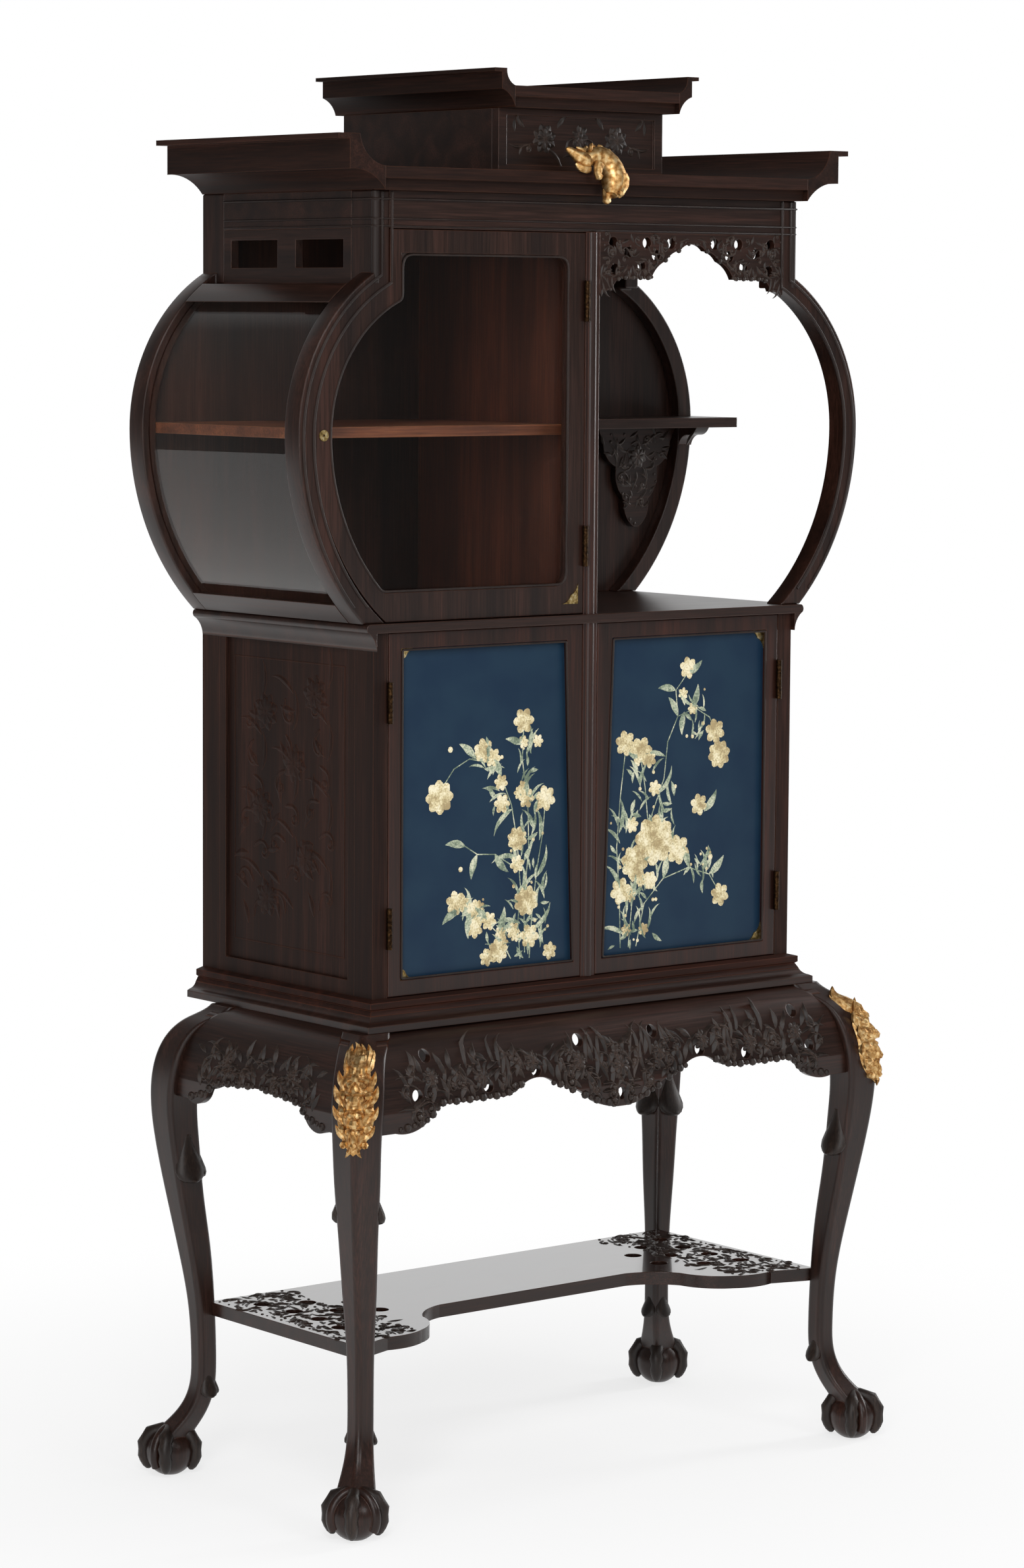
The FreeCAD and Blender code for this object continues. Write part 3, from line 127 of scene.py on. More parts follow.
# %% Wood finish
def wood_finish(name, grain_axis, shades, roughness=0.24, polish=0.36, varnish=0.0):
    """Polished timber whose grain runs along one axis of the cabinet."""
    material, tree, place = new_finish(name)
    across, along = 1 / (2.2 * MM), 1 / (70 * MM)
    scale = [along if axis == grain_axis else across for axis in "xyz"]
    grain_place = add(tree, "Mapping", {"Vector": place, "Scale": scale})
    grain = add(tree, "TexNoise", {"Vector": grain_place, "Scale": 1.0, "Detail": 4.0,
                                   "Roughness": 0.6})
    figure_place = add(tree, "Mapping", {"Vector": place, "Scale": [value / 14 for value in scale]})
    figure = add(tree, "TexNoise", {"Vector": figure_place, "Scale": 1.0, "Detail": 3.0,
                                    "Distortion": 0.6})
    both = add(tree, "Math", {0: grain, 1: figure}, operation="MULTIPLY")
    base = ramp(tree, both, (0.12, 0.26, 0.42), shades)
    gloss = add(tree, "MapRange", {"Value": grain, "To Min": roughness, "To Max": roughness + 0.16})
    # Edges and ridges turn to the fourth shade: part real wear, part a painted highlight.
    bevelled = add(tree, "Bevel", {"Radius": 1.8 * MM}, samples=4)
    real = add(tree, "NewGeometry").outputs["Normal"]
    turned = add(tree, "VectorMath", {0: bevelled, 1: real}, operation="DOT_PRODUCT")
    edge = add(tree, "MapRange", {"Value": turned, "From Min": 0.98, "From Max": 0.8,
                                  "To Max": 0.55})
    wear_and_highlight = add(tree, "Mix", {"Factor": edge, "A": base, "B": colour(shades[3])}, data_type="RGBA")
    relief = bump(tree, grain, 0.25, 0.12, Normal=bevelled)
    coat = varnish
    if varnish:  # only the top was rubbed to a mirror; the edges stay dull
        facing = add(tree, "SeparateXYZ", {0: real}).outputs["Z"]
        coat = add(tree, "MapRange", {"Value": facing, "From Min": 0.7, "To Max": varnish})
    return finished(material, tree, {
        "Base Color": wear_and_highlight, "Roughness": gloss, "Normal": relief, "Specular IOR Level": polish,
        "Coat Weight": coat, "Coat Roughness": 0.05})


# %% The woods of the cabinet
# Four shades each: vessels, ground, paler figure, and the brown edges: part wear, part painted
# highlight.
EBONY = ("#170c09", "#25150f", "#372019", "#5c3827")
RUBBED = ("#190d09", "#28150f", "#3a1d14", "#6e3b27")
WALNUT = ("#3a1d12", "#5e3420", "#7d4c30", "#94603e")
# Ebonised and polished: black-brown, with a soft broken sheen along the grain.
ebony_upright = wood_finish("ebonised_wood_upright", "z", EBONY)
ebony_across = wood_finish("ebonised_wood_across", "x", EBONY)
ebony_deep = wood_finish("ebonised_wood_front_to_back", "y", EBONY)
# The same, rubbed by hands and dusters: redder; edges part worn brown, part painted highlight.
rubbed_upright = wood_finish("rubbed_ebonised_wood_upright", "z", RUBBED)
rubbed_across = wood_finish("rubbed_ebonised_wood_across", "x", RUBBED, 0.5, 0.13)
# Polished to a mirror on top: at a low angle it gives back the white of the room.
table_top = wood_finish("polished_ebonised_wood", "x", EBONY, 0.16, 0.4, 1.0)
# Stained but left matt: dark and even, with hardly a highlight.
roof_across = wood_finish("matt_roof_wood_across", "x", EBONY, 0.55, 0.12)
roof_deep = wood_finish("matt_roof_wood_front_to_back", "y", EBONY, 0.55, 0.12)
matt_upright = wood_finish("matt_ebonised_wood_upright", "z", EBONY, 0.5, 0.14)
# Inside the display, where light never faded the stain: a warm red-brown.
inside_wood = wood_finish("polished_inside_wood", "z", ("#25120c", "#3a1d13", "#4e281a", "#5a3222"),
                          0.4)
# Oiled walnut: the lightest wood on the cabinet, so that shelves stand out in the dark.
shelf_wood = wood_finish("polished_shelf_wood", "x", WALNUT, 0.35)
# Carving: greyer than plain wood as a painted sheen; brown ridges, part wear, part painted
# highlight.
carved_wood = wood_finish("carved_ebonised_wood", "z", ("#140d0a", "#211712", "#352821", "#574237"),
                          0.36, 0.34)
# Reeds and beads: narrow, so they are kept duller, or each would shine as one white line.
reeded_wood = wood_finish("reeded_ebonised_wood", "z", ("#170e0b", "#221713", "#2e201b", "#33241e"),
                          0.46, 0.3)
print("materials so far:", len(bpy.data.materials))

# %% [markdown]
# ### Lacquer, glass, gilt and brass
# The door panels are polished oil lacquer: an even blue with almost no relief and a hard coat.
# The panes are plain soda-lime glass. The mounts are cast bronze with worn mercury gilding, so
# the hollows are browner and rougher than the rubbed tops. The hinges are drawn brass.

# %% Lacquer finish
LACQUER_BACK = -126  # mm; behind this depth the panel is bare wood


def lacquer_finish(name, shades):
    """Blue in front, clouded over some 60 mm and rippled over 6 mm, and wood at the back."""
    material, tree, place = new_finish(name)
    cloud = noise(tree, place, 60, Detail=3.0)
    ripple = noise(tree, place, 6)
    relief = bump(tree, ripple, 0.05, 0.1)
    depth = add(tree, "SeparateXYZ", {0: place}).outputs["Y"]
    back = add(tree, "MapRange", {"Value": depth, "From Min": (LACQUER_BACK - 0.2) * MM,
                                  "From Max": (LACQUER_BACK + 0.2) * MM})
    blue = ramp(tree, cloud, (0.35, 0.65), shades)
    base = add(tree, "Mix", {"Factor": back, "A": blue, "B": colour(shades[2])}, data_type="RGBA")
    return finished(material, tree, {"Base Color": base, "Roughness": 0.34,
                                     "Specular IOR Level": 0.15, "Normal": relief})


# Old oil lacquer: a deep, slightly cloudy blue that is no longer quite glossy.
blue_lacquer = lacquer_finish("blue_oil_lacquer", ("#182c40", "#1d3244", "#2b1710"))

# %% Glass finish
# Thin clear panes: a faint gloss over what stands behind. The low IOR keeps it that faint.
material, tree, _ = new_finish("soda_lime_glass")
pane_glass = finished(material, tree, {"Base Color": colour("#f4f6f4"), "Roughness": 0.0,
                                       "IOR": 1.25, "Transmission Weight": 1.0})

# %% Metal finishes
def metal_finish(name, shades, roughness, grain_mm):
    """Metal with a patina: rough and dark in the hollows of a noise, bright on its tops."""
    material, tree, place = new_finish(name)
    wear = noise(tree, place, grain_mm, Detail=3.0, Roughness=0.5)
    base = ramp(tree, wear, (0.34, 0.5, 0.68), shades)
    gloss = add(tree, "MapRange", {"Value": wear, "To Min": roughness + 0.18, "To Max": roughness})
    relief = bump(tree, wear, 0.3, 0.3)
    return finished(material, tree, {"Base Color": base, "Metallic": 1.0, "Roughness": gloss,
                                     "Normal": relief})


# Cast and mercury gilt: soft bright gold with brown hollows.
gilt_bronze = metal_finish("gilt_bronze", ("#93683a", "#c79c62", "#e8cc98"), 0.4, 6)
# Drawn and browned: nearly as dark as the wood, so that hinges stay quiet.
browned_brass = metal_finish("browned_brass", ("#1d130c", "#2e2014", "#4a3520"), 0.4, 3)
# Thin gilding worn down to pale brass: small dull gold corners.
pale_gilt = metal_finish("worn_gilt_brass", ("#6f5a34", "#a8905c", "#cfc09a"), 0.34, 4)

# %% [markdown]
# ### Which piece gets which finish
# Grain follows the length of a board, so posts, stiles and legs take the upright grain, rails and
# roofs the grain across, and the pieces that run front to back the third.

# %% Finish the CAD nodes
FINISHES = (  # a node takes the first row that has a word of its name
    (ebony_deep, "apron_left", "apron_right", "side_glass_rails", "side_window_rail"),
    (pane_glass, "glass"), (blue_lacquer, "lacquer"), (browned_brass, "hinges"),
    (pale_gilt, "mounts"), (gilt_bronze, "mount"), (table_top, "undershelf"),
    (rubbed_upright, "cupboard_door", "centre_post"), (rubbed_across, "base_moulding"),
    (shelf_wood, "display_shelf", "cupboard_shelf"), (inside_wood, "display_partition"),
    (roof_deep, "roof_ends"), (roof_across, "roof_board"),
    (matt_upright, "case_post", "side_frame", "side_panel"),
    (ebony_upright, "leg_", "curved_post", "display_door_frame", "upper_back", "case_back"),
    (ebony_across, ""),
)
for name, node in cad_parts.items():
    finish = next(row[0] for row in FINISHES if any(word in name for word in row[1:]))
    node.data.materials.clear()
    node.data.materials.append(finish)
    for polygon in node.data.polygons:
        polygon.material_index = 0
    node.visible_shadow = finish is not pane_glass  # lamps shine in through clear glass
print("finished", len(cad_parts), "nodes")

# %% [markdown]
# The curved posts are rounded on the real cabinet, so that a long highlight runs down them. Three
# modifiers do that without touching the CAD mesh: Weld closes its loose triangles, Decimate
# dissolves the flat ones into whole faces, and Bevel rounds the arrises that are left.

# %% Round the arrises
def rounded(node_name, radius, segments=4):
    """Rounds the sharp edges of a CAD node to a radius in mm, with modifiers only."""
    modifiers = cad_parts[node_name].modifiers
    modifiers.new("weld", "WELD").merge_threshold = 0.02 * MM
    whole = modifiers.new("whole_faces", "DECIMATE")
    whole.decimate_type = "DISSOLVE"
    whole.angle_limit = math.radians(0.5)
    arris = modifiers.new("arris", "BEVEL")
    arris.width = radius * MM
    arris.segments = segments
    arris.limit_method = "ANGLE"
    arris.angle_limit = math.radians(60)


for side_name, _ in SIDES:
    for depth_name in ("front", "back"):
        rounded(f"curved_post_{depth_name}_{side_name}", 7)
print("rounded the curved posts")

# %% [markdown]
# ## Carving, inlay and mounts
# Carved ornament is a few motifs cut again and again: a scroll that tapers to a berry, a ridged
# leaf, a long one, a berry and two blossoms. Each is modelled once, lying in the upright XZ sheet
# with its relief towards the viewer, and then copied to its places. All grow the way a modeller
# grows a horn by hand: a small disc is extruded, turned and scaled, step by step.

# %% Helpers for modelling
def alone(*pieces):
    """Leaves edit mode and selects these pieces only, with the first one active."""
    if bpy.context.mode != "OBJECT":
        bpy.ops.object.mode_set(mode="OBJECT")
    bpy.ops.object.select_all(action="DESELECT")
    for piece in pieces:
        piece.select_set(True)
    if pieces:
        bpy.context.view_layer.objects.active = pieces[0]


def edit(piece):
    """Opens one piece in edit mode, selected all over."""
    alone(piece)
    bpy.ops.object.mode_set(mode="EDIT")
    bpy.ops.mesh.select_all(action="SELECT")


def settle():
    """Moves the place, turn and scale of what is selected into its mesh."""
    bpy.ops.object.transform_apply(location=True, rotation=True, scale=True)


def moved(across, depth, up):
    """A move in millimetres, to be applied to a mesh."""
    return Matrix.Translation(Vector((across, depth, up)) * MM)


def copy_of(model):
    """A copy with a mesh of its own."""
    copy = model.copy()
    copy.data = model.data.copy()
    bpy.context.scene.collection.objects.link(copy)
    return copy


def close(piece, smooth=40):
    """Leaves edit mode with every face pointing outwards and soft faces shaded smooth."""
    edit(piece)
    bpy.ops.mesh.normals_make_consistent(inside=False)
    bpy.ops.object.mode_set(mode="OBJECT")
    bpy.ops.object.shade_smooth_by_angle(angle=math.radians(smooth))
    return piece


def grow(name, steps, sides=6, width=1.0, flat=1.0, heading=0.0, smooth=40):
    """A horn in the XZ sheet. Each step is a length, a turn and a new half width."""
    alone()
    bpy.ops.mesh.primitive_circle_add(vertices=sides, radius=width * MM, fill_type="NGON",
                                      rotation=(0, math.radians(90 - heading), 0))
    piece = bpy.context.object
    piece.name = name
    settle()
    edit(piece)
    tip = Vector((0, 0, 0))
    angle = math.radians(heading)
    for length, turn, new_width in steps:
        angle += math.radians(turn)
        step = Vector((math.cos(angle), 0, math.sin(angle))) * length * MM
        tip += step
        bpy.ops.mesh.extrude_region_move(TRANSFORM_OT_translate={"value": step})
        bpy.ops.transform.rotate(value=math.radians(turn), orient_axis="Y", center_override=tip)
        bpy.ops.transform.resize(value=[new_width / width] * 3, center_override=tip)
        width = new_width
    bpy.ops.mesh.select_all(action="SELECT")
    bpy.ops.transform.resize(value=(1, flat, 1), center_override=(0, 0, 0))
    return close(piece, smooth)


def ball(name, radius, flat=1.0, place=(0, 0), rings=6):
    """A berry or boss: a small sphere pressed towards the ground it grows from."""
    alone()
    bpy.ops.mesh.primitive_uv_sphere_add(segments=2 * rings, ring_count=rings, radius=radius * MM,
                                         location=(place[0] * MM, 0, place[1] * MM))
    piece = bpy.context.object
    piece.name = name
    piece.scale = (1, flat, 1)
    settle()
    return close(piece)


def join(name, pieces):
    """Joins pieces into one, with its origin at the origin."""
    alone(*pieces)
    bpy.ops.object.join()
    settle()
    pieces[0].name = pieces[0].data.name = name
    return pieces[0]


def discard(*pieces):
    """Deletes pieces together with their meshes."""
    for piece in pieces:
        bpy.data.meshes.remove(piece.data)


def keep(name, pieces, finish, smooth=40, body=CABINET):
    """Joins pieces into one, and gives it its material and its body."""
    piece = close(join(name, pieces), smooth)
    piece.data.materials.clear()
    piece.data.materials.append(finish)
    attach(piece, body)
    return piece


# %% [markdown]
# The scroll turns faster towards its tip, as a real volute does, and ends in a berry. A leaf is
# grown from a four-sided disc, so that a sharp ridge runs along its middle.

# %% Motifs
SCROLL_STEPS = ([(3.4, 6, 2.3)] * 3 + [(3.2, 22, 2.1)] * 5 + [(2.4, 38, 1.8)] * 4
                + [(2.0, 60, 1.5)] * 2)
scroll_horn = grow("scroll_horn", SCROLL_STEPS, sides=4, width=1.2, flat=0.9, heading=90)
tip = sum((vertex.co for vertex in list(scroll_horn.data.vertices)[-4:]), Vector()) / 4
scroll = join("scroll", [scroll_horn, ball("berry", 3.0, 0.8, (tip.x / MM, tip.z / MM), 4)])
leaf = grow("leaf", [(2, 0, 1.7), (3, 3, 2.9), (3, 4, 3.4), (3, 5, 3.0), (3, 6, 2.1), (3, 7, 1.1),
                     (2, 8, 0.15)], sides=4, width=0.6, flat=0.7, smooth=25)
long_leaf = grow("long_leaf", [(3, 4, 1.6), (5, 6, 2.6), (6, 8, 2.8), (6, 10, 2.3), (5, 12, 1.5),
                               (5, 14, 0.7), (3, 16, 0.1)], sides=4, width=0.8, flat=0.7, smooth=25)
berry = ball("berry", 2.4, 0.8, rings=4)


def blossom_of(name, petals, length, width, boss, rows=1):
    """Petals grown once and turned round a boss, in one row or two."""
    petal = grow("petal", [(0.2 * length, 0, 0.5 * width), (0.3 * length, 0, width),
                           (0.3 * length, 0, 0.9 * width), (0.2 * length, 0, 0.35 * width)],
                 sides=4, width=0.2 * width, flat=0.45, smooth=25)
    around = []
    for row in range(rows):
        for number in range(petals):
            angle = 2 * math.pi * (number + row / 2) / petals + 0.3
            copy = copy_of(petal)
            copy.matrix_world = (moved(0, -row * 0.12 * length, 0)
                                 @ Matrix.Rotation(angle, 4, "Y") @ Matrix.Scale(1 - 0.3 * row, 4))
            around.append(copy)
    discard(petal)
    return join(name, around + [ball("boss", boss, 0.7)])


blossom = blossom_of("blossom", 6, 11, 4.2, 3.4)
double_blossom = blossom_of("double_blossom", 8, 20, 7.0, 4.5, rows=2)
MOTIFS = (scroll, leaf, long_leaf, berry, blossom, double_blossom)
print("motifs:", [motif.name for motif in MOTIFS])

# %% [markdown]
# A motif is stamped at a place across and up a face, and then laid on the real surface: a ray is
# cast from in front of the face at every point of the motif, and the point moves in by as much as
# the wood lies back there. A stamp with no wood behind it is left out, as a carver would.

# %% Placings
def many(motif, *places):
    """Placings of one motif: across, up, size and turn, in mm and degrees, and not flipped."""
    return [(motif, *place, False) for place in places]


def stamp(placings):
    """Copies motifs to their placings on the XZ sheet."""
    copies = []
    for motif, across, up, size, turn, flip in placings:
        copy = copy_of(motif)
        copy.data.transform(moved(across, 0, up)
                            @ Matrix.Diagonal((-1 if flip else 1, 1, 1, 1))
                            @ Matrix.Rotation(-math.radians(turn), 4, "Y")
                            @ Matrix.Scale(size, 4))
        copies.append(copy)
    return copies


def both_sides(placings):
    """The placings and then their mirror images about the middle line."""
    return placings + [(motif, -across, up, size, turn, not flip)
                       for motif, across, up, size, turn, flip in placings]


# %% Laying motifs on a face
STAND_OFF = 0.6  # m in front of the face's middle, from where the rays start
NEAR_THE_TOP = 0.75  # of the depths under a stamp, sorted: the level it mainly lies on


def laid_on(name, node_name, placings, finish, middle=(0, 0, 0), across=(1, 0, 0),
            outward=(0, -1, 0), up=(0, 0, 1), relief=1.0, sink=0.4, body=CABINET,
            slot_name="dark_wood", missing=0.2, reach=0.66, fall=14):
    """Stamps motifs and lays them on a CAD node, seen along the outward direction.

    A point that finds no wood, or finds it far behind, as in a hole, keeps its neighbour's
    depth, and a stamp with too large a share of points missing is dropped."""
    wood = BVHTree.FromObject(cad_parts[node_name], bpy.context.evaluated_depsgraph_get())
    middle, across, outward, up = (Vector(v) for v in (middle, across, outward, up))
    kept = []
    for copy in stamp(placings):
        flat = [middle + across * vertex.co.x + up * vertex.co.z for vertex in copy.data.vertices]
        hits = [wood.ray_cast(point + outward * STAND_OFF, -outward, reach)[0] for point in flat]
        depths = [hit and (hit - point).dot(outward) for hit, point in zip(hits, flat)]
        found = sorted(depth for depth in depths if depth is not None)
        if len(flat) - len(found) > missing * len(flat):
            discard(copy)
            continue
        last = usual = found[int(len(found) * NEAR_THE_TOP)]
        for vertex, point, depth in zip(copy.data.vertices, flat, depths):
            if depth is not None and abs(depth - usual) < fall * MM:
                last = depth
            vertex.co = point + outward * (last - vertex.co.y * relief - sink * MM)
        kept.append(copy)
    print(name, "has", len(kept), "of", len(placings), "stamps")
    keep(name, kept, finish, 30, body)


LEFT_FACE = {"across": (0, -1, 0), "outward": (-1, 0, 0)}
RIGHT_FACE = {"across": (0, 1, 0), "outward": (1, 0, 0)}

# %% [markdown]
# ### The front and side aprons
# The bowed aprons carry close foliage that grows from their scalloped lower edge and dies away
# towards the plain upper half. Small lobes follow the edge itself, so that it looks carved and
# not sawn. Setting hundreds of leaves by hand is slow, so chance turns and sizes them, with a
# fixed seed that gives the same leaves each time.

# %% Edges and thickets
def along_edge(points, spacing):
    """Places and directions, evenly spaced along a line through points."""
    places, spare = [], spacing / 2
    for (x0, z0), (x1, z1) in zip(points, points[1:]):
        length = math.hypot(x1 - x0, z1 - z0)
        while spare <= length:
            share = spare / length
            places.append((x0 + (x1 - x0) * share, z0 + (z1 - z0) * share,
                           math.degrees(math.atan2(z1 - z0, x1 - x0))))
            spare += spacing
        spare -= length
    return places


def lobed_edge(points, size):
    """Round lobes that just pass a lower edge, large and small by turns, so the edge looks cut."""
    return [(berry, x, z + 1.4 * size, size * (1.25 if number % 2 else 0.85), 0, False)
            for number, (x, z, _) in enumerate(along_edge(points, 5.6 * size))]


def level_on(edge):
    """The level of a line through points, at any place across."""
    def level(across):
        for (x0, z0), (x1, z1) in zip(edge, edge[1:]):
            if across <= x1:
                return z0 + (z1 - z0) * max(across - x0, 0) / (x1 - x0)
        return edge[-1][1]
    return level


MIXED = (leaf, leaf, scroll, long_leaf, berry)
LEAFY = (leaf, leaf, leaf, long_leaf, scroll)


def thicket(seed, left, right, low, high, step, size, lean=180, motifs=MIXED):
    """Closely set leaves, scrolls and berries from a lower edge up to a level."""
    chance = random.Random(seed)
    grown = []
    for column in range(int((right - left) / step) + 1):
        across = left + column * step
        up = low(across) + step * (0.35 + 0.5 * (column % 2))
        while up < high:
            motif = chance.choice(motifs)
            grown.append((motif, across + chance.uniform(-2, 2), up,
                          size * chance.uniform(0.85, 1.2),
                          chance.uniform(90 - lean, 90 + lean), chance.random() < 0.5))
            up += step * 0.9
    return grown


# %% Apron carving
FRONT_EDGE = [(6, 523), (48, 534), (109, 562), (170, 567), (200, 556), (305, 556), (333, 534),
              (378, 527)]
SIDE_EDGE = [(4, 561), (74, 556), (100, 552), (111, 538), (152, 528)]
half_front = thicket(1, 9, 358, level_on(FRONT_EDGE), 604, 12, 1.35, 55, LEAFY)
half_front += many(double_blossom, (70, 590, 0.7, 70), (150, 596, 0.7, 150), (235, 584, 0.7, 235),
                   (320, 592, 0.7, 320))
half_side = thicket(2, 6, 130, level_on(SIDE_EDGE), 600, 12, 1.3, 60, LEAFY)
half_side += many(double_blossom, (70, 590, 0.62, 0))
middle_front = many(double_blossom, (0, 578, 0.95, 0)) + many(leaf, (0, 534, 1.2, 90))
APRONS = (("front", {}, both_sides(half_front) + middle_front, FRONT_EDGE, 1.6),
          ("left", LEFT_FACE, both_sides(half_side), SIDE_EDGE, 1.4),
          ("right", RIGHT_FACE, both_sides(half_side), SIDE_EDGE, 1.4))
for apron, face, foliage, _, relief in APRONS:
    laid_on(f"apron_carving_{apron}", f"apron_{apron}", foliage, carved_wood, relief=relief,
            missing=0.12, **face)
for apron, face, _, lower_edge, _ in APRONS:
    laid_on(f"apron_edge_{apron}", f"apron_{apron}", both_sides(lobed_edge(lower_edge, 2.0)),
            carved_wood, missing=0.75, **face)

# %% Niche apron carving
NICHE_EDGE = [(4, 1676), (23, 1667), (48, 1653.5), (74, 1629), (131, 1629), (143, 1614),
              (158, 1609)]
niche_half = lobed_edge(NICHE_EDGE, 1.2) + thicket(3, 6, 160, level_on(NICHE_EDGE), 1684, 9, 0.72)
laid_on("niche_apron_carving", "niche_apron", both_sides(niche_half), carved_wood,
        middle=(0.1765, 0, 0), relief=1.3, missing=0.5)

# %% [markdown]
# ### Gilt knee mounts
# Each front knee wears a cast bronze mount of leaves, bent round the leg's outer corner. The CAD
# plate is its ground, and leaves, scrolls and berries are piled on it and past its edge, so that
# the outline is ragged. A crest of the same pieces lies on the leg above it. The leg is seen from
# its corner here, and the mount is laid on from there.

# %% Knee mounts
half_knee = []
for up, out, size, turn in ((40, 6, 1.0, 20), (22, 9, 1.25, 5), (2, 10, 1.4, 0), (-20, 9, 1.3, -8),
                            (-40, 6, 1.1, -12)):
    half_knee += (many(scroll, (out, up - 10, size * 1.15, turn))
                  + many(leaf, (out + 6, up - 6, size * 1.1, 52 + turn))
                  + many(berry, (out + 8, up - 12, size * 1.9, 0)))
half_knee += many(leaf, (3, 46, 1.2, 76), (8, 42, 1.0, 62), (3, -50, 1.0, -80))
crest = (many(berry, (3, 46, 4.6, 0), (8, 44, 4.2, 0), (4, 51, 3.6, 0), (10, 51, 1.9, 0))
         + many(leaf, (9, 38, 1.7, 74), (12, 36, 1.4, 66), (4, 44, 1.4, 82))
         + many(scroll, (5, 41, 1.2, 30)))
spine = many(leaf, *[(0, up, 1.6, 90) for up in (-58, -32, -2, 24, 46)])
spine += many(berry, (0, -52, 2.2, 0), (0, -24, 3.0, 0), (0, 6, 3.4, 0), (0, 34, 2.8, 0))
for name, side in SIDES:
    on_knee = {"middle": (side * 0.455, -0.225, 0.5725), "relief": 1.5, "sink": 0.6, "fall": 40,
               "across": Vector((1, side, 0)).normalized(), "slot_name": "gilt_bronze",
               "outward": Vector((side, -1, 0)).normalized()}
    laid_on(f"knee_foliage_{name}", f"knee_mount_{name}", both_sides(half_knee) + spine,
            gilt_bronze, missing=0.75, **on_knee)
    laid_on(f"knee_crest_{name}", f"leg_front_{name}",
            both_sides(crest) + many(leaf, (0, 47, 1.4, 90)), gilt_bronze, missing=0.4, **on_knee)

# %% [markdown]
# ### The beast on the roof
# A small cast dragon climbs over the edge of the roof: its hind part hangs in front of the board,
# its body arches over the edge and its open jaws point to the left. The body is one long horn.
# Legs, jaws, brows, ears, tail and the curls of the mane are smaller horns pressed into it.

# %% Beast mount
def limb(name, start, heading, steps, width, depth=0.0, sides=8):
    """A horn moved to its place on the beast, in mm from the beast's own middle."""
    horn = grow(name, steps, sides=sides, width=width, heading=heading)
    horn.data.transform(moved(start[0], depth, start[1]))
    return horn


beast_parts = [
    limb("body", (7, -31), 63,
         [(5, -4, 12.5), (8, 4, 16), (9, 6, 17.5), (9, 16, 17.5), (9, 18, 16.5), (7, 16, 15.5),
          (7, 16, 14.5), (6, 14, 14), (7, 18, 13.5), (6, 16, 12.5), (6, 12, 11.5), (6, 14, 10),
          (5, 10, 8), (3, 6, 4)], 8, sides=12),
    limb("head", (-22, 12), 149, [(4, 0, 10), (8, 4, 10.5), (8, -2, 8.5), (8, -4, 6), (6, 2, 4.8),
                                  (4, 6, 3.6), (2, 0, 1.4)], 9, sides=12),
    limb("lower_jaw", (-24, 5), 186, [(6, 0, 6.5), (7, -16, 5.6), (6, -18, 4), (4, -14, 1.6)], 6),
    limb("fore_leg", (-12, 8), 236, [(7, 0, 6.5), (8, 20, 5.2), (5, 36, 5.8), (3, 0, 2)], 7, -9),
    limb("hind_leg", (22, -6), 282,
         [(8, 0, 8.5), (9, -24, 7), (7, -26, 5.4), (5, -10, 5.8), (3, 0, 2)], 8, -10),
    limb("far_hind_leg", (6, -22), 262, [(7, 0, 6.6), (6, -10, 5.6), (4, 0, 5.8), (3, 0, 2)],
         6.5, 6),
    limb("tail", (28, 2), 286, [(7, -6, 5.5), (8, -8, 5.8), (8, -10, 5.2), (7, -12, 4.2),
                                (5, -16, 2.8), (3, -10, 1)], 4, 2),
]
for near, depth in (("", -1), ("far_", 1)):
    beast_parts.append(limb(near + "brow", (-30, 26), 152, [(5, 0, 3.2), (6, 6, 2.4), (4, 0, 0.8)],
                            2, 5 * depth))
    beast_parts.append(limb(near + "ear", (-22, 26), 64, [(5, 10, 3.6), (5, -14, 2.6),
                                                          (4, -16, 0.8)], 3, 6 * depth))
for number, (across, up, turn) in enumerate(((26, 14, 30), (17, 26, 62), (4, 33, 96),
                                             (-9, 34, 122))):
    beast_parts.append(limb(f"curl_{number}", (across, up), turn,
                            [(3, 30, 3.4), (3, 40, 2.6), (2, 40, 1.0)], 4, sides=6))
beast = join("roof_beast", beast_parts)
beast.data.transform(moved(-8, -173, 1768) @ Matrix.Rotation(math.radians(-16), 4, "X"))
keep("roof_beast", [beast], gilt_bronze)
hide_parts("roof_beast_mount")
print("beast box", [[round(c / MM) for c in corner] for corner in beast.bound_box][::6])

# %% [markdown]
# ### Flower inlay on the lacquer doors
# Bone and tinted shell are cut into petals and leaves, set in the wet lacquer and left a little
# proud. Stems are grown as long thin horns, so a plant is drawn by its turns. The plants here
# are plain garden flowers: tall stems from the foot, bending over at the top.

# %% Inlay finishes
def inlay_finish(name, shades):
    """Bone or shell: each cut piece is its own shade, so the noise is as wide as a petal."""
    material, tree, place = new_finish(name)
    piece_tone = noise(tree, place, 16, Detail=1.0)
    age = noise(tree, place, 2.5, Detail=4.0)
    tone = add(tree, "Math", {0: piece_tone, 1: age}, operation="MULTIPLY")
    base = ramp(tree, tone, (0.15, 0.25, 0.36), shades)
    relief = bump(tree, age, 0.3, 0.1)
    return finished(material, tree, {"Base Color": base, "Roughness": 0.42, "Normal": relief})


# Polished bone: warm cream petals, browner where it has aged.
bone_inlay = inlay_finish("bone_inlay", ("#a8946a", "#d8c99c", "#f0e6c6"))
# Shell tinted grey-green: leaves and stems that stay behind the petals.
shell_inlay = inlay_finish("tinted_shell_inlay", ("#5f6f5c", "#9aa58c", "#cfcfb4"))

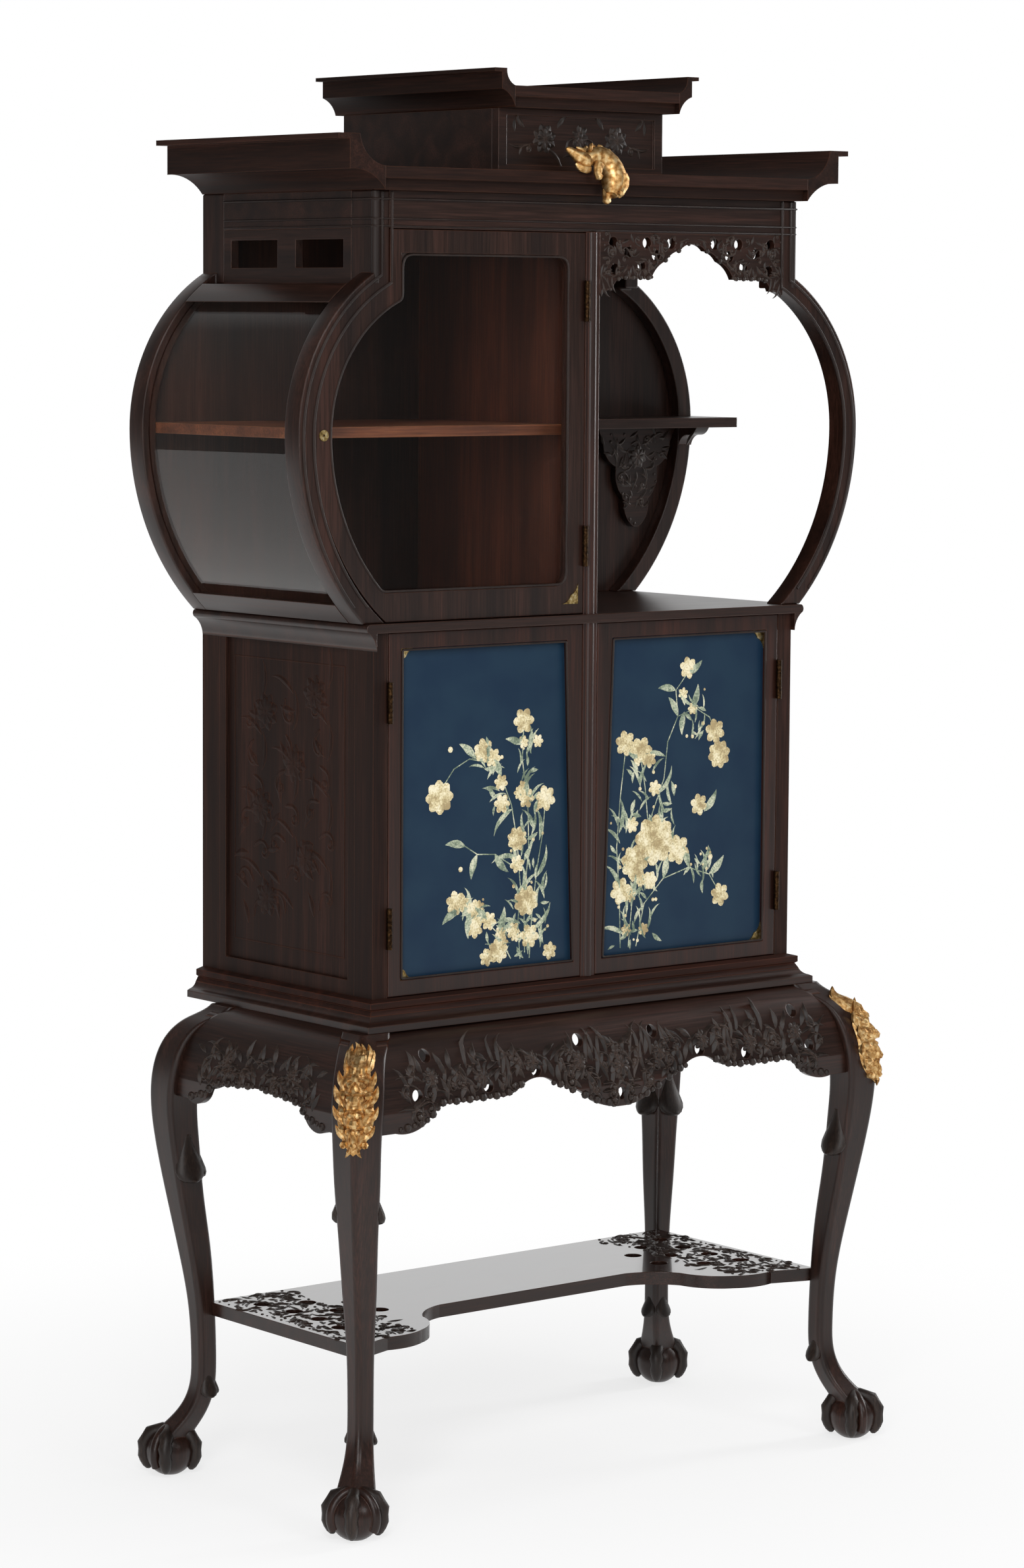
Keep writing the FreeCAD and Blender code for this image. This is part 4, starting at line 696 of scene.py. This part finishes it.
# %% Inlay of the two doors
def stalk(points, width=1.6):
    """A stem through points across and up, in mm: one straight run after another."""
    steps, first, heading = [], None, 0
    for (x0, z0), (x1, z1) in zip(points, points[1:]):
        new = math.degrees(math.atan2(z1 - z0, x1 - x0))
        if first is None:
            first = heading = new
        turn = (new - heading + 180) % 360 - 180
        steps.append((math.hypot(x1 - x0, z1 - z0), turn, width))
        heading = new
    horn = grow("stalk", steps, sides=6, width=width, flat=0.5, heading=first)
    horn.data.transform(moved(points[0][0], 0, points[0][1]))
    return horn


def grasses(feet, seed):
    """Fine blades and sprigs that fill the foot of a plant, the same on every run."""
    chance = random.Random(seed)
    blades = []
    for across, low, high, lean in feet:
        for _ in range(9):
            blades.append((long_leaf, across + chance.uniform(-16, 16), chance.uniform(low, high),
                           chance.uniform(0.8, 1.25), 90 + lean + chance.uniform(-34, 34),
                           chance.random() < 0.5))
        for _ in range(5):
            blades.append((leaf, across + chance.uniform(-22, 22), chance.uniform(low, high + 10),
                           chance.uniform(0.8, 1.3), chance.uniform(0, 360), False))
    return blades


def sprinkled(feet, seed):
    """Small flowers and buds about the foot of a plant."""
    chance = random.Random(seed)
    return [(blossom if chance.random() < 0.45 else berry, across + chance.uniform(-24, 24),
             chance.uniform(low, high + 20), chance.uniform(0.8, 1.25), chance.uniform(0, 60),
             False) for across, low, high, _ in feet for _ in range(6)]


def inlay(side, stalks, leaves, flowers, feet):
    """Lays a plant on a door: shell stems and leaves first, and bone flowers over them."""
    body = f"cupboard_door_{side}"
    leaves = leaves + grasses(feet, side)
    flowers = flowers + sprinkled(feet, side)
    stems = [stalk(points) for points in stalks]
    laid_on(f"inlay_stems_{side}", f"{body}_lacquer", [(stem, 0, 0, 1, 0, False) for stem in stems]
            + leaves, shell_inlay, relief=0.35, sink=0.2, body=body, slot_name="blue_lacquer")
    laid_on(f"inlay_flowers_{side}", f"{body}_lacquer", flowers, bone_inlay, relief=0.4, sink=0.1,
            body=body, slot_name="blue_lacquer")
    discard(*stems)


# Left door: three stems rise on the right, and one bends over to a flower at the left.
inlay("left",
      [[(-112, 722), (-116, 770), (-112, 820), (-118, 880), (-128, 930), (-146, 970), (-170, 990),
        (-200, 996), (-226, 984), (-244, 962)],
       [(-96, 722), (-92, 780), (-84, 840), (-74, 890), (-70, 930)],
       [(-104, 730), (-106, 800), (-98, 870), (-100, 930), (-110, 990), (-108, 1034)],
       [(-128, 724), (-150, 760), (-182, 786), (-214, 798)],
       [(-128, 850), (-156, 866), (-186, 868), (-206, 880)]],
      many(long_leaf, (-112, 770, 1.5, 150), (-112, 800, 1.7, 60), (-86, 830, 1.6, 40),
           (-118, 860, 1.5, 160), (-80, 880, 1.5, 70), (-126, 925, 1.6, 200),
           (-104, 930, 1.5, 70), (-92, 760, 1.6, 20), (-100, 1000, 1.3, 60))
      + many(leaf, (-146, 970, 1.8, 110), (-170, 990, 1.9, 80), (-190, 996, 1.9, 130),
             (-206, 880, 1.9, 160), (-186, 868, 1.9, 240), (-156, 866, 1.9, 300),
             (-168, 778, 2.0, 130), (-150, 760, 2.0, 60), (-214, 798, 2.0, 200),
             (-196, 792, 2.0, 250), (-110, 1010, 1.7, 150)),
      many(double_blossom, (-250, 948, 1.15, 20), (-118, 884, 0.85, 0), (-102, 800, 1.05, 40),
           (-150, 736, 0.85, 30))
      + many(blossom, (-96, 752, 1.5, 10), (-222, 806, 1.5, 0), (-190, 770, 1.3, 50),
             (-70, 936, 1.6, 0), (-108, 1042, 1.6, 20), (-176, 1006, 1.5, 60))
      + many(berry, (-232, 1010, 1.8, 0), (-214, 850, 1.6, 0)),
      [(-112, 726, 790, 6), (-84, 726, 830, -10), (-108, 790, 880, 4), (-96, 850, 940, -4),
       (-150, 724, 760, 30), (-196, 770, 800, 20), (-160, 930, 990, 30), (-104, 930, 1000, 0)])
# Right door: a great flower low on the left, with stems that arch up to the right.
inlay("right",
      [[(78, 722), (84, 780), (96, 840), (118, 900), (140, 950), (146, 1000), (164, 1034),
        (196, 1044), (222, 1030), (236, 1004)],
       [(64, 722), (62, 790), (56, 860), (62, 930), (70, 990)],
       [(92, 722), (106, 780), (140, 812), (186, 824), (224, 812), (240, 790)],
       [(112, 890), (106, 940), (98, 980)],
       [(164, 1034), (160, 1070), (180, 1092)]],
      many(long_leaf, (64, 800, 1.6, 100), (60, 880, 1.6, 60), (62, 930, 1.5, 120),
           (84, 790, 1.5, 60), (130, 930, 1.5, 30), (142, 980, 1.5, 150), (96, 840, 1.7, 0),
           (70, 740, 1.5, 140))
      + many(leaf, (164, 1034, 1.8, 110), (190, 1044, 1.9, 60), (176, 1040, 1.8, 250),
             (180, 1092, 1.8, 20), (160, 1070, 1.8, 160), (140, 812, 2.0, 70),
             (186, 824, 2.0, 100), (224, 812, 2.0, 30), (214, 900, 2.0, 40), (98, 976, 1.7, 140)),
      many(double_blossom, (124, 866, 1.75, 10), (88, 838, 1.2, 50), (240, 978, 1.0, 30))
      + many(blossom, (166, 850, 1.9, 0), (232, 1010, 1.6, 60), (98, 990, 1.8, 20),
             (70, 1002, 1.6, 0), (244, 782, 1.5, 0), (64, 800, 1.7, 30), (204, 910, 1.4, 0),
             (182, 1100, 1.4, 0))
      + many(berry, (226, 836, 1.8, 0)),
      [(76, 726, 790, 4), (104, 726, 800, -12), (66, 790, 900, 4), (120, 800, 900, -8),
       (146, 840, 920, -30), (104, 880, 960, 0), (196, 1000, 1050, -40), (210, 800, 830, -30)])

# %% [markdown]
# ### Beads along the curved posts
# Two half-round reeds run up the face of each curved post. The two curves meet at the widest
# point with different radii, so a reed is grown as two arcs and a straight run, each arc in
# short equal steps.

# %% Post beads
# The outline of a curved post, in mm: its widest point, the radii below and above it, how far
# down its foot stands, its top, and the half width of its straight part.
WIDEST, WIDEST_LEVEL, LOWER_RADIUS, UPPER_RADIUS = 485, 1425, 339, 240
POST_DROP, POST_TOP, STRAIGHT_HALF = 222, 1737, 365
DOOR_FACE, BACK_FACE = -144, 240  # mm front to back
REED = 2.3  # mm, the half width of a post's reed


def bead_path(inset):
    """Where a reed starts at this inset from a post's outline, its heading, and its steps."""
    lower, upper, widest = LOWER_RADIUS - inset, UPPER_RADIUS - inset, WIDEST - inset
    lower_angle = math.degrees(math.asin(POST_DROP / lower))
    upper_turn = math.degrees(math.acos((STRAIGHT_HALF - inset - widest + upper) / upper))
    steps = []
    for count, radius, swing in ((24, lower, lower_angle), (30, upper, upper_turn)):
        turn = swing / count
        steps += [(2 * radius * math.sin(math.radians(turn / 2)), turn, REED)] * count
    end_level = WIDEST_LEVEL + upper * math.sin(math.radians(upper_turn))
    steps.append((POST_TOP - end_level, -upper_turn, REED))
    start = widest - lower + lower * math.cos(math.radians(lower_angle)), WIDEST_LEVEL - POST_DROP
    return start, 90 - lower_angle, steps


def post_bead(name, side, depth):
    """Two reeds up the face of a curved post, one near either edge."""
    reeds = []
    for inset in (4, 20):
        start, heading, steps = bead_path(inset)
        reed = grow("reed", steps, sides=8, width=REED, heading=heading)
        reed.data.transform(Matrix.Diagonal((side, 1, 1, 1)) @ moved(start[0], depth, start[1]))
        reeds.append(reed)
    keep(name, reeds, reeded_wood)


for side_name, side in SIDES:
    post_bead(f"post_bead_front_{side_name}", side, DOOR_FACE)
    post_bead(f"post_bead_back_{side_name}", side, BACK_FACE)
print("reeds run up four posts")

# %% [markdown]
# Three reeds also run round the frieze, across the front and along both sides, and a stouter roll
# stands at each front corner of the upper case.

# %% Frieze reeds
def frieze_reed(level, width):
    """A reed round the front and sides at a level, drawn flat and then stood on the frieze."""
    reed = stalk([(-365, 188), (-365, -142), (-363, -144), (363, -144), (365, -142), (365, 188)],
                 width)
    stand = Matrix(((1, 0, 0, 0), (0, 0, 1, 0), (0, 1, 0, level * MM), (0, 0, 0, 1)))
    reed.data.transform(stand)
    return reed


def corner_roll(side):
    """A round upright roll at a front corner of the upper case."""
    roll = grow("roll", [(12, 0, 5.5), (100, 0, 5.5), (6, 0, 5.5)], sides=14, width=5, heading=90)
    roll.data.transform(moved(side * 361, -140, 1619))
    return roll


frieze_reeds = [frieze_reed(level, width)
                for level, width in ((1727, 3.4), (1702, 2.6), (1692.5, 2.4))]
keep("frieze_reeds", frieze_reeds + [corner_roll(-1), corner_roll(1)], reeded_wood)
print("reeds and rolls on the frieze")

# %% [markdown]
# ### Low carving on flat boards
# The front of the top box and the pendant in the niche carry flowers and scrolls in low relief.

# %% Board carving
box_half = (many(double_blossom, (62, 1812, 1.0, 0))
            + many(long_leaf, (58, 1800, 1.3, 200), (84, 1806, 1.3, 330), (30, 1788, 1.1, 150))
            + many(leaf, (96, 1826, 1.3, 40), (40, 1826, 1.3, 120), (72, 1786, 1.2, 250),
                   (112, 1820, 1.1, 80))
            + many(scroll, (24, 1796, 1.2, 0), (104, 1790, 1.1, 10)))
laid_on("top_box_carving", "top_box_front_board",
        both_sides(box_half) + many(blossom, (0, 1818, 1.3, 0)) + many(leaf, (0, 1790, 1.4, 90)),
        carved_wood, relief=0.8)
pendant = thicket(4, 314, 458, lambda across: 1264, 1412, 12, 0.95)
pendant += many(double_blossom, (387, 1376, 0.9, 0))
laid_on("niche_carving", "niche_brackets", pendant, carved_wood, relief=1.1, reach=0.9, missing=0.3)

# %% [markdown]
# ### Spurs and claws on the legs
# Low on the inside of each leg a carved leaf lifts off and flicks outwards, and a smaller one does
# the same above the foot. The foot is a claw with four knuckled toes round a ball. One spur and
# one toe are grown in the XZ sheet, then turned about the upright axis to their places.

# %% Spurs and claws
def turned_copy(model, place, angle, size=1.0):
    """A copy turned about the upright axis and stood at a place."""
    copy = copy_of(model)
    copy.data.transform(Matrix.Translation(place) @ Matrix.Rotation(angle, 4, "Z")
                        @ Matrix.Scale(size, 4))
    return copy


spur = grow("spur", [(14, 4, 4), (14, 4, 6.5), (12, 5, 8.5), (10, 6, 9.5), (8, 12, 8.5), (6, 22, 6),
                     (4, 30, 3), (2, 20, 1)], sides=12, width=2, heading=-95, smooth=50)
spur.data.transform(Matrix.Diagonal((1.1, 2.4, 1, 1)))
toe = grow("toe", [(10, 0, 9), (10, -12, 8.2), (9, -18, 10.6), (8, -20, 8.4), (8, -18, 10.4),
                   (8, -16, 8.2), (8, -10, 9.6), (7, -8, 8.4), (6, -8, 7), (5, -6, 4.6),
                   (2, 0, 1.6)], sides=10, width=7.5, heading=-2, smooth=50)
spurs, feet = [], []
for depth_name, front in (("front", -1), ("back", 1)):
    for side_name, side in SIDES:
        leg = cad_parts[f"leg_{depth_name}_{side_name}"]
        for level, size, across, deep, drop in ((472, 1.0, 431, 201, 30), (148, 0.6, 409, 179, 20)):
            centre = Vector((side * across, front * deep, level - drop)) * MM
            for inward in (Vector((-side, 0, 0)), Vector((0, -front, 0))):
                hit, place, _, _ = leg.ray_cast(centre + inward * 0.1, -inward, distance=0.2)
                if hit:
                    start = place - inward * 3 * size * MM
                    start.z = level * MM
                    spurs.append(turned_copy(spur, start, math.atan2(inward.y, inward.x), size))
        outward = math.atan2(front, side)
        for swing in (0, 90, -90, 180):
            feet.append(turned_copy(toe, Vector((side * 441, front * 211, 61)) * MM,
                                    outward + math.radians(swing)))
print("cut", len(spurs), "spurs and", len(feet), "toes")
keep("leg_spurs", spurs, carved_wood, 50)
keep("claw_toes", feet, carved_wood, 50)
discard(spur, toe)

# %% [markdown]
# ### Fretwork on the undershelf and the side panels
# The ends of the undershelf are pierced, and leaves and scrolls are cut round the holes. Each side
# panel of the case has a double fillet inside its frame and a spray of leaves so shallow that it
# only shows where light grazes it.

# %% Flat carving seen from above and from the side
shelf_half = thicket(5, 286, 402, lambda across: -164, 168, 12, 0.95)
laid_on("undershelf_fret", "undershelf", both_sides(shelf_half), carved_wood, outward=(0, 0, 1),
        up=(0, 1, 0), relief=0.9, missing=0.35)


def fillet(name, left, right, low, high, band, rise):
    """A raised rectangular band: a plane is inset, its middle deleted, and the rest extruded."""
    alone()
    bpy.ops.mesh.primitive_plane_add(size=1, rotation=(math.radians(90), 0, 0))
    band_piece = bpy.context.object
    band_piece.name = name
    band_piece.scale = ((right - left) * MM, (high - low) * MM, 1)
    band_piece.location = ((right + left) / 2 * MM, 0, (high + low) / 2 * MM)
    settle()
    edit(band_piece)
    bpy.ops.mesh.inset(thickness=band * MM)
    bpy.ops.mesh.delete(type="FACE")
    bpy.ops.mesh.select_all(action="SELECT")
    bpy.ops.mesh.extrude_region_move(TRANSFORM_OT_translate={"value": (0, -rise * MM, 0)})
    return close(band_piece, 20)


outer_band = fillet("outer_band", -186, 90, 722, 1136, 3.5, 1.8)
inner_band = fillet("inner_band", -172, 76, 736, 1122, 2.0, 1.4)
spray = many(outer_band, (0, 0, 1, 0)) + many(inner_band, (0, 0, 1, 0))
for number in range(7):
    for column, across in enumerate((-128, -56, 20)):
        up = 770 + 48 * number + 12 * column
        odd = (number + column) % 2
        spray.append((scroll, across, up, 1.7, 25 * number, not odd))
        spray += many(long_leaf, (across + 18, up + 8, 1.8, 60 + 70 * odd))
        spray += many(leaf, (across - 12, up - 10, 1.9, 100 + 40 * number))
for up, across in ((800, -96), (860, -10), (920, -110), (985, -36), (1050, -100), (1080, 10)):
    spray += many(double_blossom, (across, up, 1.3, across))
mirrored = both_sides(spray)[len(spray):]
for side_name, face, placings in (("left", LEFT_FACE, spray), ("right", RIGHT_FACE, mirrored)):
    laid_on(f"side_carving_{side_name}", f"side_panel_{side_name}", placings, matt_upright, **face,
            relief=0.4, sink=0.2, missing=0.3, reach=0.9)
discard(outer_band, inner_band)

# %% [markdown]
# ### Beads round the door openings
# A thin rounded bead frames every pane and panel and hides the joint. A bead follows a loop of
# points whose corners are softened, so that it turns without pinching. The square corners of the
# pane are filled to a quarter round: a block from which a Boolean modifier cuts a drum.

# %% Opening beads
def softened(corners, radius=3.0, parts=5, most=0.45):
    """A closed loop through corners, each turned in short steps and over less than half a side."""
    loop = []
    for number, corner in enumerate(map(Vector, corners)):
        before = Vector(corners[number - 1]) - corner
        after = Vector(corners[(number + 1) % len(corners)]) - corner
        cut = min(radius, before.length * most, after.length * most)
        first = corner + before.normalized() * cut
        last = corner + after.normalized() * cut
        for part in range(parts + 1):
            share = part / parts
            loop.append(first * (1 - share) ** 2 + corner * 2 * share * (1 - share)
                        + last * share ** 2)
    return loop


def opening_bead(name, corners, depth, body, radius=3.0, width=1.7):
    """A bead round an opening, half sunk in the frame at the given depth."""
    loop = softened(corners, radius)
    start = (loop[0] + loop[-1]) / 2
    points = [tuple(point) for point in [start] + loop + [start]]
    bead = stalk(points, width)
    bead.data.transform(moved(0, depth, 0) @ Matrix.Diagonal((1, 2, 1, 1)))
    keep(name, [bead], reeded_wood, body=body)


def on_arc(centre, radius, first, last, parts=16):
    """Points on an arc at the widest level, from one angle to another, to the left."""
    angles = [math.radians(first + (last - first) * part / parts) for part in range(parts + 1)]
    return [(-(centre + radius * math.cos(angle)), WIDEST_LEVEL + radius * math.sin(angle))
            for angle in angles]


PANE_INSET = 50.5  # mm from the post's outline to the pane
PANE_DEPTH = -138.6  # mm, the middle of the door frame's thickness
lower_pane, upper_pane = LOWER_RADIUS - PANE_INSET, UPPER_RADIUS - PANE_INSET
lower_start = -math.degrees(math.asin(202.5 / lower_pane))
upper_end = math.degrees(math.acos(74.5 / upper_pane))
pane_corners = ([(-42.5, 1222.5)] + on_arc(WIDEST - LOWER_RADIUS, lower_pane, lower_start, 0)
                + on_arc(WIDEST - UPPER_RADIUS, upper_pane, 0, upper_end)[1:]
                + [(-319.5, 1656.5), (-42.5, 1656.5)])
opening_bead("pane_bead", pane_corners, DOOR_FACE, "display_door", radius=17)


def corner_block(name, across, up, inward, downward, radius=16):
    """A block in a corner of the pane, hollowed by a drum to a quarter round."""
    alone()
    middle = Vector((across + inward * radius / 2, PANE_DEPTH, up + downward * radius / 2)) * MM
    bpy.ops.mesh.primitive_cube_add(size=1, location=middle,
                                    scale=(radius * MM, 9 * MM, radius * MM))
    block = bpy.context.object
    drum_middle = Vector((across + inward * radius, PANE_DEPTH, up + downward * radius)) * MM
    bpy.ops.mesh.primitive_cylinder_add(vertices=96, radius=radius * MM, depth=20 * MM,
                                        location=drum_middle, rotation=(math.pi / 2, 0, 0))
    drum = bpy.context.object
    hollow = block.modifiers.new("hollow", "BOOLEAN")
    hollow.operation = "DIFFERENCE"
    hollow.object = drum
    alone(block)
    bpy.ops.object.modifier_apply(modifier=hollow.name)
    discard(drum)
    keep(name, [block], reeded_wood, 30, body="display_door")


corner_block("pane_corner_top_right", -40.5, 1658.5, -1, -1)
corner_block("pane_corner_bottom_right", -40.5, 1220.5, -1, 1)
corner_block("pane_corner_top_left", -321.5, 1658.5, 1, -1)
for side_name, side in SIDES:
    opening_bead(f"panel_bead_{side_name}",
                 [(side * 26.5, 713.5), (side * 317.5, 713.5), (side * 317.5, 1145.5),
                  (side * 41.5, 1145.5)], DOOR_FACE, f"cupboard_door_{side_name}")
print("beads round three openings")

# %% Clear the motifs
discard(*MOTIFS)
print("the loose motifs are put away")

# %% [markdown]
# ## Camera, floor and light
# The camera stands where the photographer stood: about 6.2 m away, to the left of the front and
# a little above the middle. Its place, tilt and lens come from a fit to the straight edges. A
# pale floor fades to white away from the feet. Two large soft lamps from the left model the
# forms, a weaker one fills the front, and one at the right lifts the edges. The floor and the
# world are white to the camera, and the gloss of the wood sees a dim room on one side.

# %% Camera
PHOTO_HEIGHT_PX = 2380
FOCAL_PX = 6845.0
camera_data = bpy.data.cameras.new("camera")
camera_data.sensor_width = 36
camera_data.lens = FOCAL_PX * camera_data.sensor_width / PHOTO_HEIGHT_PX
camera = bpy.data.objects.new("camera", camera_data)
bpy.context.scene.collection.objects.link(camera)
turn, tilt, roll = (math.radians(angle) for angle in (38.96, 5.95, 0.37))
ahead = Vector((math.sin(turn) * math.cos(tilt), math.cos(turn) * math.cos(tilt), -math.sin(tilt)))
level = Vector((math.cos(turn), -math.sin(turn), 0))
upward = level.cross(ahead)
right = level * math.cos(roll) + upward * math.sin(roll)
above = upward * math.cos(roll) - level * math.sin(roll)
camera.matrix_world = (Matrix.Translation(Vector((-3883.2, -4781.5, 1580.9)) * MM)
                       @ Matrix((right, above, -ahead)).transposed().to_4x4())
bpy.context.scene.camera = camera

# %% Floor
def directly_seen(tree, rays):
    """1 for rays from the camera, off gloss or through glass, and 0 for the light on things."""
    looked = add(tree, "Math", {0: rays.outputs["Is Camera Ray"],
                                1: rays.outputs["Is Glossy Ray"]}, operation="MAXIMUM")
    return add(tree, "Math", {0: looked, 1: rays.outputs["Is Transmission Ray"]},
               operation="MAXIMUM")


alone()
bpy.ops.mesh.primitive_circle_add(vertices=64, radius=12, fill_type="NGON", location=(0, 0, 0))
floor = bpy.context.object
floor.name = "floor"
floor_paper, tree, place = new_finish("pale_floor")  # matt paper that takes a soft shadow
spread = add(tree, "VectorMath", {0: place}, operation="LENGTH")
fade = add(tree, "MapRange", {"Value": spread, "From Min": 0.3, "From Max": 1.6, "To Min": 0.72},
           interpolation_type="SMOOTHSTEP")
paper = add(tree, "BsdfDiffuse", {"Color": colour("#ffffff")})
white = add(tree, "Emission", {"Color": colour("#ffffff"), "Strength": 1.0})
seen = add(tree, "Math", {0: fade, 1: directly_seen(tree, add(tree, "LightPath"))},
           operation="MULTIPLY")
surface = add(tree, "MixShader", {0: seen, 1: paper, 2: white})
add(tree, "OutputMaterial", {"Surface": surface})
floor.data.materials.append(floor_paper)

# %% World
world = bpy.data.worlds.new("studio")
bpy.context.scene.world = world
world.use_nodes = True
tree = world.node_tree
tree.nodes.clear()
rays = add(tree, "LightPath")
lit, backdrop, dim_room = (
    add(tree, "Background", {"Color": colour("#ffffff"), "Strength": strength})
    for strength in (0.4, 1.0, 0.16))
mixed = add(tree, "MixShader", {0: directly_seen(tree, rays), 1: lit, 2: backdrop})
facing = add(tree, "VectorMath", {0: add(tree, "TexCoord").outputs["Generated"],
                                  1: (0.63, 0.77, 0.0)}, operation="DOT_PRODUCT")
room_side = add(tree, "MapRange", {"Value": facing, "From Min": 0.9, "From Max": 0.5})
in_room = add(tree, "Math", {0: room_side, 1: rays.outputs["Is Glossy Ray"]}, operation="MULTIPLY")
studio = add(tree, "MixShader", {0: in_room, 1: mixed, 2: dim_room})
add(tree, "OutputWorld", {"Surface": studio})

# %% Lamps
def soft_lamp(name, place, aim, width, watts, height=None):
    """A round area lamp, or an upright one where a height is given."""
    data = bpy.data.lights.new(name, "AREA")
    data.shape = "RECTANGLE" if height else "DISK"
    data.size, data.size_y = width, height or width
    data.energy = watts
    lamp = bpy.data.objects.new(name, data)
    bpy.context.scene.collection.objects.link(lamp)
    lamp.location = place
    lamp.rotation_euler = (Vector(aim) - Vector(place)).to_track_quat("-Z", "Y").to_euler()


soft_lamp("key", (-3.0, -3.4, 4.4), (0, 0, 0.9), 2.0, 95)
soft_lamp("strip", (-4.7, -3.9, 1.9), (-0.3, 0, 1.1), 1.1, 95, 2.8)
soft_lamp("fill", (0.6, -5.4, 3.4), (0, 0, 1.0), 2.0, 60)
soft_lamp("edge", (4.4, -0.5, 2.2), (0, 0, 1.1), 0.8, 75, 2.8)

# %% Finish
bpy.context.scene.view_settings.view_transform = "Standard"
